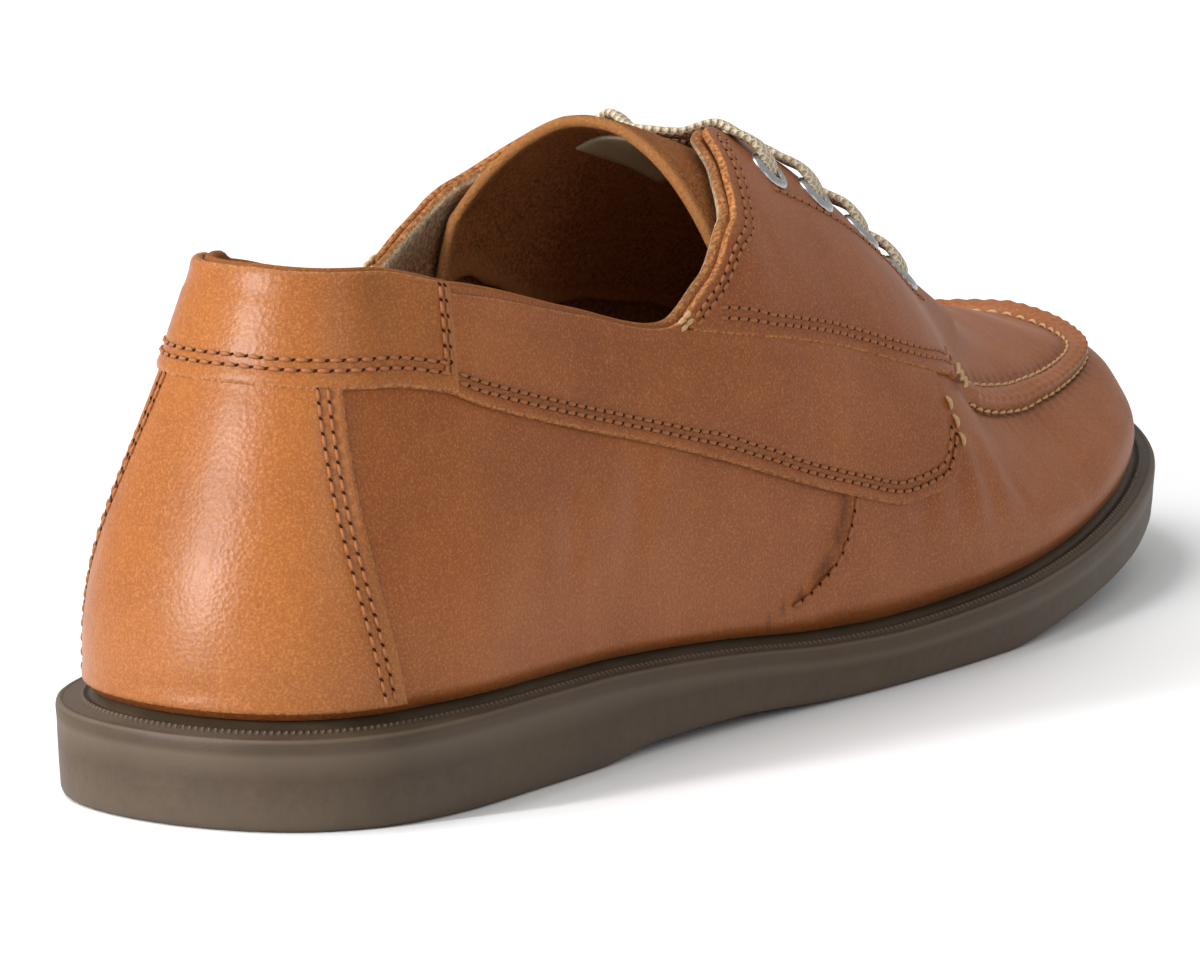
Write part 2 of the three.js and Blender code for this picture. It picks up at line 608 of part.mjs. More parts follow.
// The lace where it crosses the throat: a bar at the top and three crossings. Each starts on the flap, beside
// its eyelet, and dips to the tongue between the flaps.
function laceAcross(fromAlong, toAlong, fromSide, raise) {
  const beside = EYELET_RADIUS + 2 * GAP;
  const reach = (along) => sectionAt(along).shoulder * (2 - EYELET_LEVEL) - beside;
  const onFlap = FLAP_GAP + OVERLAY + 2 * GAP + LACE_THICKNESS / 2;
  const onTongue = LACE_THICKNESS / 2 + GAP - WALL - TONGUE_GAP;
  const throat = 0.32; // half the throat's width, in level
  const steps = 6;
  const rows = [];
  for (let k = 0; k <= steps; k++) {
    const t = k / steps;
    const share = lerp(fromAlong, toAlong, t);
    const across = fromSide * lerp(reach(fromSide * fromAlong), -reach(-fromSide * toAlong), t);
    const side = across < 0 ? -1 : 1;
    const level = 2 - Math.abs(across) / sectionAt(side * share).shoulder;
    const dip = THREE.MathUtils.smoothstep(level, 2 - throat, 2);
    const over = lerp(onFlap, onTongue + raise, dip);
    rows.push({
      point: lastAt(side * share, level).addScaledVector(outwardAt(side * share, level), over),
      up: outwardAt(side * share, level),
    });
  }
  const rings = rows.map(({ point, up }, k) => {
    const next = rows[Math.min(k + 1, steps)].point;
    const before = rows[Math.max(k - 1, 0)].point;
    const forward = next.clone().sub(before).normalize();
    const sideways = forward.clone().cross(up).normalize();
    const lift = sideways.clone().cross(forward).normalize();
    return Array.from({ length: 6 }, (_, i) => {
      const angle = (Math.PI * i) / 3;
      const wide = (LACE_WIDTH / 2) * Math.sign(Math.cos(angle)) * Math.abs(Math.cos(angle)) ** 0.7;
      const thick = (LACE_THICKNESS / 2) * Math.sin(angle);
      return point.clone().addScaledVector(sideways, wide).addScaledVector(lift, thick);
    });
  });
  const cap = (ring) => ring.slice(2).map((p, i) => [ring[0], ring[i + 1], p]);
  return closedGeometry([...sheet(rings, true), ...flipped(cap(rings[0])), ...cap(rings[steps])]);
}
function laces() {
  const bars = [laceAcross(EYELETS[0], EYELETS[0], 1, 0)];
  for (let i = 0; i < EYELETS.length - 1; i++) {
    bars.push(laceAcross(EYELETS[i], EYELETS[i + 1], 1, 0));
    bars.push(laceAcross(EYELETS[i], EYELETS[i + 1], -1, LACE_THICKNESS / 2));
  }
  const solids = bars.map((bar) => {
    const solid = solidOf(bar);
    return solid.volume() < 0 ? solidOf(turnedOut(bar)) : solid;
  });
  return geometryOf(solids.reduce((joined, bar) => joined.add(bar)));
}

add("outsole", outsole(), RUBBER);
add("insole", insole(), SUEDE);
add("upper", upper(), LEATHER);
add("tongue", tongue(), SUEDE);
add("heel_cuff", heelCuff(), LEATHER);
add("heel_counter", heelCounter(), LEATHER);
for (const [name, side] of [
  ["lateral", 1],
  ["medial", -1],
]) {
  add(`side_band_${name}`, sideBand(side), LEATHER);
  add(`eyestay_${name}`, eyestay(side), LEATHER);
  EYELETS.forEach((along, i) => add(`eyelet_${name}_${i + 1}`, eyelet(side * along), NICKEL));
}
add("lace", laces(), CORD);

export default group;
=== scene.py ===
import math

import bpy
import numpy as np
from mathutils import Matrix


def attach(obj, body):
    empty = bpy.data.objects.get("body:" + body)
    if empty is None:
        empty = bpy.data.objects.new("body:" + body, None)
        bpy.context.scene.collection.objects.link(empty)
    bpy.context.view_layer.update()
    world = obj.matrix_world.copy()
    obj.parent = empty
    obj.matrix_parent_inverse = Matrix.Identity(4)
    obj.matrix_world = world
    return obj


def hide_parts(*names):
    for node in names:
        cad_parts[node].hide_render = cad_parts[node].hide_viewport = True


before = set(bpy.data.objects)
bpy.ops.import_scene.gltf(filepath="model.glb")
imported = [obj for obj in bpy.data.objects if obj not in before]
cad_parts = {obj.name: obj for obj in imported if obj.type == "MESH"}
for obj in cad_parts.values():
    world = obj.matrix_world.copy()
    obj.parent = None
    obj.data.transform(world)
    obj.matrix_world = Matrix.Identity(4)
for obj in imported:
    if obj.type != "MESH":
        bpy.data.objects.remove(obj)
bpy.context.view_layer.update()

# The view
# A long lens looks at the outer side of the shoe from behind and a little above, with the whole shoe in the
# frame. The camera is level but for a slight roll.
EYE = (1.2646, -2.0937, 0.5178)
YAW = math.radians(31.247)
PITCH = math.radians(11.244)
ROLL = math.radians(-0.297)
LENS = 440.7

def sight(yaw, pitch, roll):
    """The camera's axes: forward is turned by yaw from +Y and dipped by pitch, right is level, and both are
    then rolled."""
    level = math.cos(pitch)
    forward = np.array([-math.sin(yaw) * level, math.cos(yaw) * level, -math.sin(pitch)])
    right = np.array([math.cos(yaw), math.sin(yaw), 0])
    up = np.cross(right, forward)
    turned = math.cos(roll) * right + math.sin(roll) * up
    return Matrix([turned, np.cross(turned, forward), -forward]).transposed()

camera = bpy.data.objects.new("camera", bpy.data.cameras.new("camera"))
camera.data.lens = LENS
camera.data.clip_start = 0.1
camera.data.clip_end = 20
camera.matrix_world = Matrix.Translation(EYE) @ sight(YAW, PITCH, ROLL).to_4x4()
bpy.context.scene.collection.objects.link(camera)
bpy.context.scene.camera = camera


# The studio
# A plain white floor in soft white light from all round. One large lamp stands above the left and one at the
# right, and an upright strip behind the heel gives it its long soft highlight.
class Wire:
    """A socket whose arithmetic adds Math nodes."""

    def __init__(self, finish, socket):
        self.finish = finish
        self.socket = socket

    def _math(self, operation, other):
        return self.finish.node("ShaderNodeMath", {"operation": operation}, {0: self, 1: other})

    def __add__(self, other):
        return self._math("ADD", other)

    def __mul__(self, other):
        return self._math("MULTIPLY", other)

    __radd__ = __add__
    __rmul__ = __mul__


class Finish:
    """A material being made: node() adds any node, and shader() ends it with the Principled shader."""

    def __init__(self, name):
        self.material = bpy.data.materials.new(name)
        self.material.use_nodes = True
        self.tree = self.material.node_tree
        self.tree.nodes.clear()

    def node(self, kind, settings=None, inputs=None, output=0):
        made = self.tree.nodes.new(kind)
        for key, value in (settings or {}).items():
            setattr(made, key, value)
        for key, value in (inputs or {}).items():
            if isinstance(value, Wire):
                self.tree.links.new(value.socket, made.inputs[key])
            elif isinstance(value, tuple) and len(value) == 3 and made.inputs[key].type == "RGBA":
                made.inputs[key].default_value = (*value, 1)
            else:
                made.inputs[key].default_value = value
        return Wire(self, made.outputs[output]) if made.outputs else None

    def blend(self, factor, first, second):
        settings = {"data_type": "RGBA", "blend_type": "MIX", "clamp_factor": True}
        return self.node("ShaderNodeMix", settings, {0: factor, 6: first, 7: second}, 2)

    def place(self):
        return self.node("ShaderNodeTexCoord", output="Object")

    def noise(self, vector, scale, detail=3, rough=0.55):
        inputs = {"Vector": vector, "Scale": scale, "Detail": detail, "Roughness": rough}
        return self.node("ShaderNodeTexNoise", None, inputs)

    def span(self, value, low, high, start=0, end=1):
        inputs = {"Value": value, "From Min": low, "From Max": high, "To Min": start, "To Max": end}
        return self.node("ShaderNodeMapRange", {"interpolation_type": "SMOOTHSTEP"}, inputs)

    def value(self, name):
        return self.node("ShaderNodeAttribute", {"attribute_name": name}, output="Fac")

    def bump(self, height, distance, strength, under=None):
        inputs = {"Height": height, "Distance": distance, "Strength": strength}
        if under:
            inputs["Normal"] = under
        return self.node("ShaderNodeBump", None, inputs)

    def shader(self, inputs):
        made = self.node("ShaderNodeBsdfPrincipled", None, inputs)
        self.node("ShaderNodeOutputMaterial", None, {"Surface": made})
        return self.material


FLOOR_SIZE = 12
WORLD_LIGHT = 0.6
SHOE_MIDDLE = (0, 0, 0.04)
floor_mesh = bpy.data.meshes.new("floor")
floor_signs = [(-0.5, -0.5), (0.5, -0.5), (0.5, 0.5), (-0.5, 0.5)]
floor_corners = [(x * FLOOR_SIZE, y * FLOOR_SIZE, 0) for x, y in floor_signs]
floor_mesh.from_pydata(floor_corners, [], [(0, 1, 2, 3)])
floor = bpy.data.objects.new("floor", floor_mesh)
bpy.context.scene.collection.objects.link(floor)
floor_finish = Finish("studio_floor")
floor_mesh.materials.append(floor_finish.shader({"Base Color": (0.93, 0.93, 0.93), "Roughness": 0.9}))

world = bpy.data.worlds.new("studio")
world.use_nodes = True
world.node_tree.nodes["Background"].inputs["Color"].default_value = (1, 1, 1, 1)
world.node_tree.nodes["Background"].inputs["Strength"].default_value = WORLD_LIGHT
bpy.context.scene.world = world
bpy.context.scene.view_settings.view_transform = "Standard"

def lamp(name, place, size, power):
    """A rectangular lamp that faces the middle of the shoe: its -Z axis runs from place to the shoe."""
    data = bpy.data.lights.new(name, "AREA")
    data.shape = "RECTANGLE"
    data.size, data.size_y = size
    data.energy = power
    made = bpy.data.objects.new(name, data)
    away = np.array(place) - SHOE_MIDDLE
    away = away / np.linalg.norm(away)
    across = np.cross([0, 0, 1], away)
    across = across / np.linalg.norm(across)
    axes = Matrix([across, np.cross(away, across), away]).transposed()
    made.matrix_world = Matrix.Translation(place) @ axes.to_4x4()
    bpy.context.scene.collection.objects.link(made)

lamp("lamp_above", (-0.7, -0.4, 1.5), (1.1, 1.1), 19)
lamp("lamp_camera", (1.4, -0.9, 0.9), (0.9, 0.9), 3.5)
lamp("lamp_strip", (-0.58, -1.32, 0.5), (0.10, 0.8), 21)


# The outsole
# One moulded rubber unit sole with a low heel and a shallow arch, matt taupe. Its side is plain, and a fine
# wheeled bead runs on the ledge beside the upper, which is cemented on.
MM = 0.001
LENGTH = 296
WIDTH = 103
HEEL_THICKNESS = 15.4
LEDGE = 4
LEDGE_RISE = 2.6
GAP = 0.35
OVERLAY = 1.5
HEEL_CENTRE = 0.176
TOE_CENTRE = 0.804
SPINE_AT_TOE = -0.05
COUNTER_FOOT = 0.093
CUFF_END = 0.167

# The rim from above: share of LENGTH along, and of WIDTH to the lateral and the medial side
OUTLINE = [
    (0.008, 0.14, 0.146), (0.027, 0.238, 0.248), (0.06, 0.314, 0.32), (0.107, 0.357, 0.354),
    (0.2, 0.377, 0.354), (0.3, 0.391, 0.33), (0.4, 0.424, 0.322), (0.5, 0.467, 0.355),
    (0.6, 0.495, 0.423), (0.683, 0.496, 0.49), (0.767, 0.466, 0.528), (0.84, 0.41, 0.538),
    (0.907, 0.32, 0.5), (0.957, 0.193, 0.413), (0.987, 0.06, 0.3),
]
# The tip of the toe: share of WIDTH sideways, and of LENGTH along
TOE_TIP = (-0.117, 1)
# The side of the sole: share along, then shares of HEEL_THICKNESS for the floor side and the rim
SOLE_SIDE = [
    (0, 0, 1), (0.12, 0, 1.03), (0.24, 0, 1.0), (0.3, 0.1, 0.94), (0.37, 0.12, 0.84), (0.46, 0.03, 0.67),
    (0.53, 0, 0.615), (0.63, 0, 0.66), (0.7, 0.13, 0.75), (0.85, 0.46, 1.11), (1, 0.8, 1.53),
]
# The sole's profile: millimetres in from the rim, share of the side's height, millimetres above it
SIDE_PROFILE = [
    (2.4, 0, 0), (1.5, 0, 0.15), (0.95, 0, 0.6), (0.7, 0, 1.3), (0.45, 0.3, 0.5), (0.3, 0.55, 0),
    (0.15, 1, -3.1), (0.05, 1, -2), (0, 1, -1.2), (0.05, 1, -0.7), (0.22, 1, -0.3), (0.5, 1, -0.08),
    (0.8, 1, 0), (1.1, 1, -0.1), (1.3, 1, -0.12), (1.5, 1, 0.02),
]
SOLE_COLUMNS = 1440
BEAD_PITCH = 1.3
BEAD_HEIGHT = 0.35
BEAD_START = 1.9
BEAD_WIDTH = 1.1

def smooth(low, high, value):
    """0 below low, 1 above high, and 3t^2 - 2t^3 between them."""
    t = np.clip((value - low) / (high - low), 0, 1)
    return t * t * (3 - 2 * t)

def curve(table, column):
    """A curve through a table's rows that doesn't overshoot: cubic Hermite pieces, whose slope at a row is
    the harmonic mean of the slopes beside it, or nought where they turn."""
    rows = np.array(table, float)
    x, v = rows[:, 0], rows[:, column]
    slope = np.diff(v) / np.diff(x)
    before, after = slope[:-1], slope[1:]
    even = before * after > 0
    middle = np.where(even, 2 * before * after / np.where(even, before + after, 1), 0)
    tangent = np.concatenate([slope[:1], middle, slope[-1:]])

    def at(place):
        place = np.clip(place, x[0], x[-1])
        i = np.clip(np.searchsorted(x, place, side="right") - 1, 0, len(x) - 2)
        width = x[i + 1] - x[i]
        t = (place - x[i]) / width
        rise = (1 - t) ** 2 * t * width * tangent[i] - t ** 2 * (1 - t) * width * tangent[i + 1]
        return v[i] + (v[i + 1] - v[i]) * t * t * (3 - 2 * t) + rise

    return at

def spline(points, steps, closed=False):
    """A centripetal Catmull-Rom curve: knots a square root of the distance apart, and between two of them
    the cubic Hermite piece with the slopes that those knots give."""
    p = np.array(points, float)
    if closed:
        p = np.vstack([p[-1:], p, p[:2]])
    else:
        p = np.vstack([2 * p[0] - p[1], p, 2 * p[-1] - p[-2]])
    gap = np.sqrt(np.linalg.norm(np.diff(p, axis=0), axis=1))
    pieces = len(p) - 3
    s = np.linspace(0, pieces, steps, endpoint=not closed)
    i = np.clip(s.astype(int), 0, pieces - 1)
    t = (s - i)[:, None]
    d0, d1, d2 = gap[i, None], gap[i + 1, None], gap[i + 2, None]
    a, b, c, d = p[i], p[i + 1], p[i + 2], p[i + 3]
    start = (b - a) / d0 - (c - a) / (d0 + d1) + (c - b) / d1
    end = (c - b) / d1 - (d - b) / (d1 + d2) + (d - c) / d2
    u, v = start * d1, end * d1
    return b + u * t + (-3 * b + 3 * c - 2 * u - v) * t * t + (2 * b - 2 * c + u + v) * t ** 3

outline = np.array(OUTLINE)
rim_points = np.vstack([
    [[0, 0]],
    outline[:, [1, 0]],
    [TOE_TIP],
    outline[::-1, [2, 0]] * [-1, 1],
]) * [WIDTH, LENGTH]
rim = spline(rim_points, 480, closed=True)
CENTRE = np.array([*(rim.min(0) + rim.max(0)) / 2, 0])

# A place round the shoe is "turn": 0 at the back of the heel, 1 at the toe tip up the lateral side, and on
# to 2 back down the medial side. Sections run straight across from heel centre to toe centre, and fan out
# beyond them.
def share_of(turn):
    turn = np.mod(turn, 2)
    return np.minimum(turn, 2 - turn)

def on_side(share, side):
    """The turn of a share along the shoe, on the lateral side for 1 and on the medial side for -1."""
    return share if side > 0 else 2 - share

def heading(turn):
    """The direction of a section: side * cos and sin of an angle that goes from -90 to 0 degrees in the
    heel fan, stays 0, and goes from 0 to 90 degrees in the toe fan."""
    share = share_of(turn)
    side = np.where(np.mod(turn, 2) <= 1, 1.0, -1.0)
    angle = np.radians(90) * (np.clip(share / HEEL_CENTRE, 0, 1) - 1)
    angle = angle + np.radians(90) * np.clip((share - TOE_CENTRE) / (1 - TOE_CENTRE), 0, 1)
    return np.stack([side * np.cos(angle), np.sin(angle)], -1)

def spine_point(turn):
    """The section's point of the spine: it leans to the big toe as the square of the way forward."""
    share = np.clip(share_of(turn), HEEL_CENTRE, TOE_CENTRE)
    forward = (share - HEEL_CENTRE) / (TOE_CENTRE - HEEL_CENTRE)
    return np.stack([SPINE_AT_TOE * WIDTH * forward ** 2, share * LENGTH], -1)

# Each section's reach to the rim: the crossing of its ray with the rim's edges, found by determinants
turns = np.linspace(0, 2, 3001)
spines, headings = spine_point(turns), heading(turns)
edges = np.roll(rim, -1, axis=0) - rim
starts = rim[None] - spines[:, None]
det = headings[:, None, 1] * edges[None, :, 0] - headings[:, None, 0] * edges[None, :, 1]
det = np.where(np.abs(det) < 1e-12, 1e-12, det)
ray = (starts[..., 1] * edges[None, :, 0] - starts[..., 0] * edges[None, :, 1]) / det
part = (headings[:, None, 0] * starts[..., 1] - headings[:, None, 1] * starts[..., 0]) / det
hit = np.argmax((ray > 0) & (part >= -1e-9) & (part <= 1 + 1e-9), axis=1)
rim_reach = ray[np.arange(len(turns)), hit]
outwards = np.stack([edges[hit, 1], -edges[hit, 0]], -1)
outwards = outwards / np.linalg.norm(outwards, axis=1, keepdims=True)
squareness = np.abs((outwards * headings).sum(1))

def tuck(share):
    """How far the upper is drawn in under the counter: less and less from its foot to the cuff's end."""
    return (OVERLAY + GAP) * (1 - smooth(COUNTER_FOOT, CUFF_END, share))

def reach_of(turn):
    """The rim's and the feather edge's distance from the spine,
    and how squarely the section meets the rim."""
    turn = np.mod(turn, 2)
    reach = np.interp(turn, turns, rim_reach)
    square = np.interp(turn, turns, squareness)
    return reach, reach - (LEDGE + tuck(share_of(turn))) / square, square

bottom_at = curve(SOLE_SIDE, 1)
rim_at = curve(SOLE_SIDE, 2)

def evenly(count, path):
    """Values of turn for count places at even steps of length along path(turn), once round."""
    length = np.concatenate([[0], np.cumsum(np.linalg.norm(np.diff(path(turns), axis=0), axis=1))])
    return np.interp(np.linspace(0, length[-1], count, endpoint=False), length, turns)

def grid_quads(rows, columns, wrap=False):
    """Quads between neighbours of a grid, facing the viewer where columns run right and rows run up."""
    i = np.arange(columns if wrap else columns - 1)
    a = np.arange(rows - 1)[:, None] * columns + i
    b = np.arange(rows - 1)[:, None] * columns + (i + 1) % columns
    return np.stack([a, b, b + columns, a + columns], -1).reshape(-1, 4)

def piece(name, points, quads, finish, slot, stands_for=(), values=None, inside=None):
    """A mesh of welded quads in the scene, from the last's millimetres to metres over the origin. Corners at
    one place are merged, a quad that loses a corner is a triangle, and all faces are turned out by signed
    volume. inside is a second finish and the mask of the quads that have it."""
    points = np.asarray(points, float).reshape(-1, 3)
    _, first, back = np.unique(np.round(points, 3), axis=0, return_index=True, return_inverse=True)
    points, corners = points[first], back.reshape(-1)[quads]
    same = corners == np.roll(corners, -1, axis=1)
    crossed = (corners[:, 0] == corners[:, 2]) | (corners[:, 1] == corners[:, 3])
    whole = (same.sum(1) < 2) & ~crossed
    corners, same = corners[whole], same[whole]
    a, b, c, d = (points[corners[:, k]] for k in range(4))
    volume = (np.cross(b - a, c - a) * a).sum() + (np.cross(c - a, d - a) * a).sum()
    if volume < 0:
        corners, same = corners[:, ::-1], np.roll(same[:, ::-1], -1, axis=1)
    keep = ~same
    mesh = bpy.data.meshes.new(name)
    mesh.vertices.add(len(points))
    mesh.vertices.foreach_set("co", ((points - CENTRE) * MM).astype(np.float32).ravel())
    total = keep.sum(1)
    mesh.loops.add(int(total.sum()))
    mesh.loops.foreach_set("vertex_index", corners[keep].astype(np.int32))
    mesh.polygons.add(len(total))
    mesh.polygons.foreach_set("loop_start", np.concatenate([[0], np.cumsum(total)[:-1]]).astype(np.int32))
    mesh.polygons.foreach_set("loop_total", total.astype(np.int32))
    mesh.polygons.foreach_set("use_smooth", np.ones(len(total), bool))
    mesh.materials.append(finish)
    if inside:
        mesh.materials.append(inside[0])
        mesh.polygons.foreach_set("material_index", inside[1][whole].astype(np.int32))
    for key, value in (values or {}).items():
        layer = mesh.attributes.new(key, "FLOAT", "POINT").data
        layer.foreach_set("value", np.asarray(value, np.float32).ravel()[first])
    mesh.update(calc_edges=True)
    mesh.validate()
    made = bpy.data.objects.new(name, mesh)
    bpy.context.scene.collection.objects.link(made)
    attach(made, "root")
    if stands_for:
        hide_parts(*stands_for)
    return made

def rubber():
    """Matt taupe rubber: a fine moulded grain, a scuffed foot and a painted highlight along the top edge of
    the rim.
    """
    f = Finish("taupe_rubber")
    place = f.place()
    cloud = f.noise(place, 60, 4)
    grain = f.noise(place, 2600, 2, 0.6)
    scuff = f.span(f.value("scuff") + f.noise(place, 500, 5, 0.7) * 0.9, 0.75, 1.5)
    tone = f.blend(f.span(cloud, 0.3, 0.7), (0.050, 0.031, 0.017), (0.070, 0.045, 0.026))
    # Painted highlight: the rise value marks the rim's top edge, and this blend lightens it there.
    tone = f.blend(f.value("rise") * 0.3, tone, (0.18, 0.14, 0.10))
    tone = f.blend(scuff * 0.22, tone, (0.16, 0.125, 0.09))
    phase = f.value("around") * (2 * math.pi / BEAD_PITCH)
    wheel = f.node("ShaderNodeMath", {"operation": "SINE"}, {0: phase}) * f.value("bead")
    tone = f.blend(f.span(wheel, 0.1, 0.9) * 0.5, tone, (0.20, 0.14, 0.095))
    height = grain * 0.6 + f.noise(place, 420, 3) * 0.6 + wheel * 3
    rough = f.span(cloud, 0.2, 0.8, 0.46, 0.62)
    return f.shader({"Base Color": tone, "Roughness": rough, "Normal": f.bump(height, 0.0002, 0.55),
                     "Specular IOR Level": 0.3})

def rim_path(turn):
    reach, _, _ = reach_of(turn)
    return spine_point(turn) + heading(turn) * reach[:, None]

def outsole():
    """The profile carried round the rim: each place goes in from the rim along its section, and up from the
    floor side. The bead is a half sine across the ledge; its marks are in the finish."""
    turn = evenly(SOLE_COLUMNS, rim_path)
    reach, feather, square = reach_of(turn)
    steps = np.linalg.norm(np.diff(rim_path(turn), axis=0), axis=1)
    around = np.concatenate([[0], np.cumsum(steps)])
    rows, marks = [], []

    def row(distance, height, worn=0.0, rim_highlight=0.0, wheel=0.0):
        at = spine_point(turn) + heading(turn) * distance[:, None]
        y = np.clip(at[:, 1], 0, LENGTH) / LENGTH
        rows.append(np.column_stack([at, height(y)]))
        marks.append((worn, rim_highlight, wheel))

    low = lambda y: bottom_at(y) * HEEL_THICKNESS
    high = lambda y: rim_at(y) * HEEL_THICKNESS
    for share in (0, 0.3, 0.6, 0.85):
        row(share * reach, low, 0.6)
    for inset, part, more in SIDE_PROFILE:
        # Rows at the top edge of the rim get a painted highlight, which reaches the finish as the rise value.
        rim_highlight = 0.9 if part == 1 and 0.1 < inset < 1 else 0.0
        row(reach - inset / square, lambda y: low(y) + part * (high(y) - low(y)) + more, 1 - part, rim_highlight)
    for across in np.linspace(0, 1, 9):
        swell = np.sin(np.pi * across)
        inset = feather + (BEAD_START - BEAD_WIDTH * across) / square
        row(inset, lambda y: high(y) + 0.1 + 0.4 * across + BEAD_HEIGHT * swell, 0, 0.0, swell)
    row(feather + 0.4 / square, lambda y: high(y) + 0.45)
    row(feather, lambda y: high(y) + 0.5)
    for inner in (feather - 1.5, 0.5 * feather, 0 * feather):
        row(inner, lambda y: high(y) + LEDGE_RISE)
    worn, rim_highlight, wheel = (np.repeat(mark, SOLE_COLUMNS) for mark in np.array(marks).T)
    # rise carries the painted rim highlight to the finish.
    values = {"scuff": worn, "rise": rim_highlight, "bead": wheel, "around": np.tile(around, len(rows))}
    quads = grid_quads(len(rows), SOLE_COLUMNS, wrap=True)
    piece("outsole_rubber", np.array(rows), quads, rubber(), "sole_rubber", ["outsole"], values)

outsole()


# The upper
# Oiled full-grain leather over a last, lined with leather. The vamp comes up round the toe and is gathered
# by hand onto the apron in a puckered ridge. It overlaps the quarters in a seam under the side strip.
BACK_HEIGHT = 89
INSTEP_HEIGHT = 94
WALL = 2.2
RIDGE_HEIGHT = 2.4
BOW = 2.2
BULGE = 1.1
FOOT_PULL = 0.375
SHOULDER_PULL = 0.64
LEAST_PULL = 0.45
NEAR_SPINE = 1.987
CLOSED = 1.999
HIGHEST_SEAM = 1.95
HALVINGS = 22
# The shoulder of each section: share along, reach, height, top, and the medial side's reach and height
SHOULDER = [
    (0, 0.53, 0.985, 1, 1, 1), (0.09, 0.53, 0.975, 1, 1, 1), (0.176, 0.65, 0.93, 1, 1.01, 1),
    (0.28, 0.745, 0.832, 1, 1.11, 1.01), (0.355, 0.815, 0.768, 1, 1.18, 1.05),
    (0.4, 0.775, 0.83, 1.0, 1.22, 1.05), (0.44, 0.72, 0.885, 1.06, 1.23, 1.03),
    (0.473, 0.7, 0.855, 1.3, 1.19, 1.02), (0.497, 0.7, 0.82, 1.56, 1.14, 1.01),
    (0.518, 0.7, 0.785, 1.64, 1.1, 1), (0.585, 0.7, 0.69, 1.63, 1.04, 1), (0.64, 0.69, 0.59, 1.63, 1, 1),
    (0.69, 0.675, 0.475, 1.64, 1, 1), (0.73, 0.685, 0.425, 1.66, 1, 1), (0.765, 0.7, 0.4, 1.73, 1, 1),
    (0.79, 0.71, 0.395, 2, 1, 1), (0.804, 0.715, 0.393, 2, 1, 1), (0.87, 0.76, 0.395, 2, 1, 1),
    (0.93, 0.84, 0.407, 2, 1, 1), (1, 0.861, 0.425, 2, 1, 1),
]
# The spine from the side: share of LENGTH along and of INSTEP_HEIGHT up
SPINE = [
    (0, 1.38), (0.176, 1.38), (0.28, 1.2), (0.36, 1.1), (0.446, 1.07), (0.52, 1.0), (0.585, 0.912),
    (0.655, 0.784), (0.73, 0.638), (0.787, 0.53), (0.845, 0.49), (0.9, 0.461), (0.96, 0.43), (1, 0.41),
]
spine_height = curve(SPINE, 1)
top_of = curve(SHOULDER, 3)
shoulder_reach, shoulder_height, inner_reach, inner_rise = (curve(SHOULDER, k) for k in (1, 2, 4, 5))

def last_surface(turn, level):
    """A place on the last. Up to the shoulder, level 1, a cubic Bezier curve that leaves the feather edge
    upright. Above it the section bows to the spine, level 2, as 1 - share^BOW of the rise."""
    turn, level = np.broadcast_arrays(np.asarray(turn, float), np.asarray(level, float))
    share = share_of(turn)
    medial = np.mod(turn, 2) > 1
    _, feather, _ = reach_of(turn)
    shoulder = feather * shoulder_reach(share) * np.where(medial, inner_reach(share), 1)
    edge_z = shoulder_height(share) * BACK_HEIGHT * np.where(medial, inner_rise(share), 1)
    at, way = spine_point(turn), heading(turn)

    def height_along(table, reach, size):
        y = at[..., 1] + way[..., 1] * reach
        return table(np.clip(y, 0, LENGTH) / LENGTH) * size

    foot_z = height_along(rim_at, feather, HEEL_THICKNESS) + LEDGE_RISE + GAP
    lean = BOW * (height_along(spine_height, shoulder, INSTEP_HEIGHT) - edge_z) / shoulder
    rise = edge_z - foot_z
    back = SHOULDER_PULL * (feather - shoulder)
    bulge = BULGE * smooth(COUNTER_FOOT, 2 * CUFF_END, share)
    reaches = [feather, feather + bulge, shoulder + back, shoulder]
    pull_z = np.maximum(edge_z - lean * back, foot_z + LEAST_PULL * rise)
    heights = [foot_z, foot_z + FOOT_PULL * rise, pull_z, edge_z]
    t = np.clip(level, 0, 1)
    weights = [(1 - t) ** 3, 3 * t * (1 - t) ** 2, 3 * t * t * (1 - t), t ** 3]
    reach = sum(w * r for w, r in zip(weights, reaches))
    z = sum(w * h for w, h in zip(weights, heights))
    over = np.clip(2 - level, 0, 1)
    top_z = height_along(spine_height, shoulder * over, INSTEP_HEIGHT)
    top_z = top_z + (edge_z - top_z) * over ** BOW
    reach = np.where(level > 1, shoulder * over, reach)
    z = np.where(level > 1, top_z, z)
    return np.concatenate([at + way * reach[..., None], z[..., None]], -1)

def unit(vectors):
    return vectors / np.maximum(np.linalg.norm(vectors, axis=-1, keepdims=True), 1e-9)

def outward(turn, level, step=0.002):
    """The direction out of the last: the cross product of small steps round it and up it, and on the spine
    itself the spine's own upward normal, so that both sides meet there."""
    turn, level = np.broadcast_arrays(np.asarray(turn, float), np.asarray(level, float))
    inner = np.minimum(level, NEAR_SPINE - step)
    about = last_surface(turn + step, inner) - last_surface(turn - step, inner)
    upward = last_surface(turn, inner + step) - last_surface(turn, np.maximum(inner - step, 0))
    y = spine_point(turn)[..., 1] / LENGTH
    slope = (spine_height(y + step) - spine_height(y - step)) * INSTEP_HEIGHT / (2 * step * LENGTH)
    ridge = np.stack([0 * slope, -slope, 0 * slope + 1], -1)
    return np.where((level > CLOSED)[..., None], unit(ridge), unit(np.cross(about, upward)))

def off_last(turn, level, off):
    """A place on the last, moved out by off millimetres."""
    return last_surface(turn, level) + outward(turn, level) * np.asarray(off)[..., None]

def level_at(turn, height):
    """The level at which a section passes a height, by halving."""
    turn, height = np.broadcast_arrays(np.asarray(turn, float), np.asarray(height, float))
    low, high = np.zeros(turn.shape), np.full(turn.shape, HIGHEST_SEAM)
    for _ in range(HALVINGS):
        middle = (low + high) / 2
        below = last_surface(turn, middle)[..., 2] < height
        low, high = np.where(below, middle, low), np.where(below, high, middle)
    return (low + high) / 2

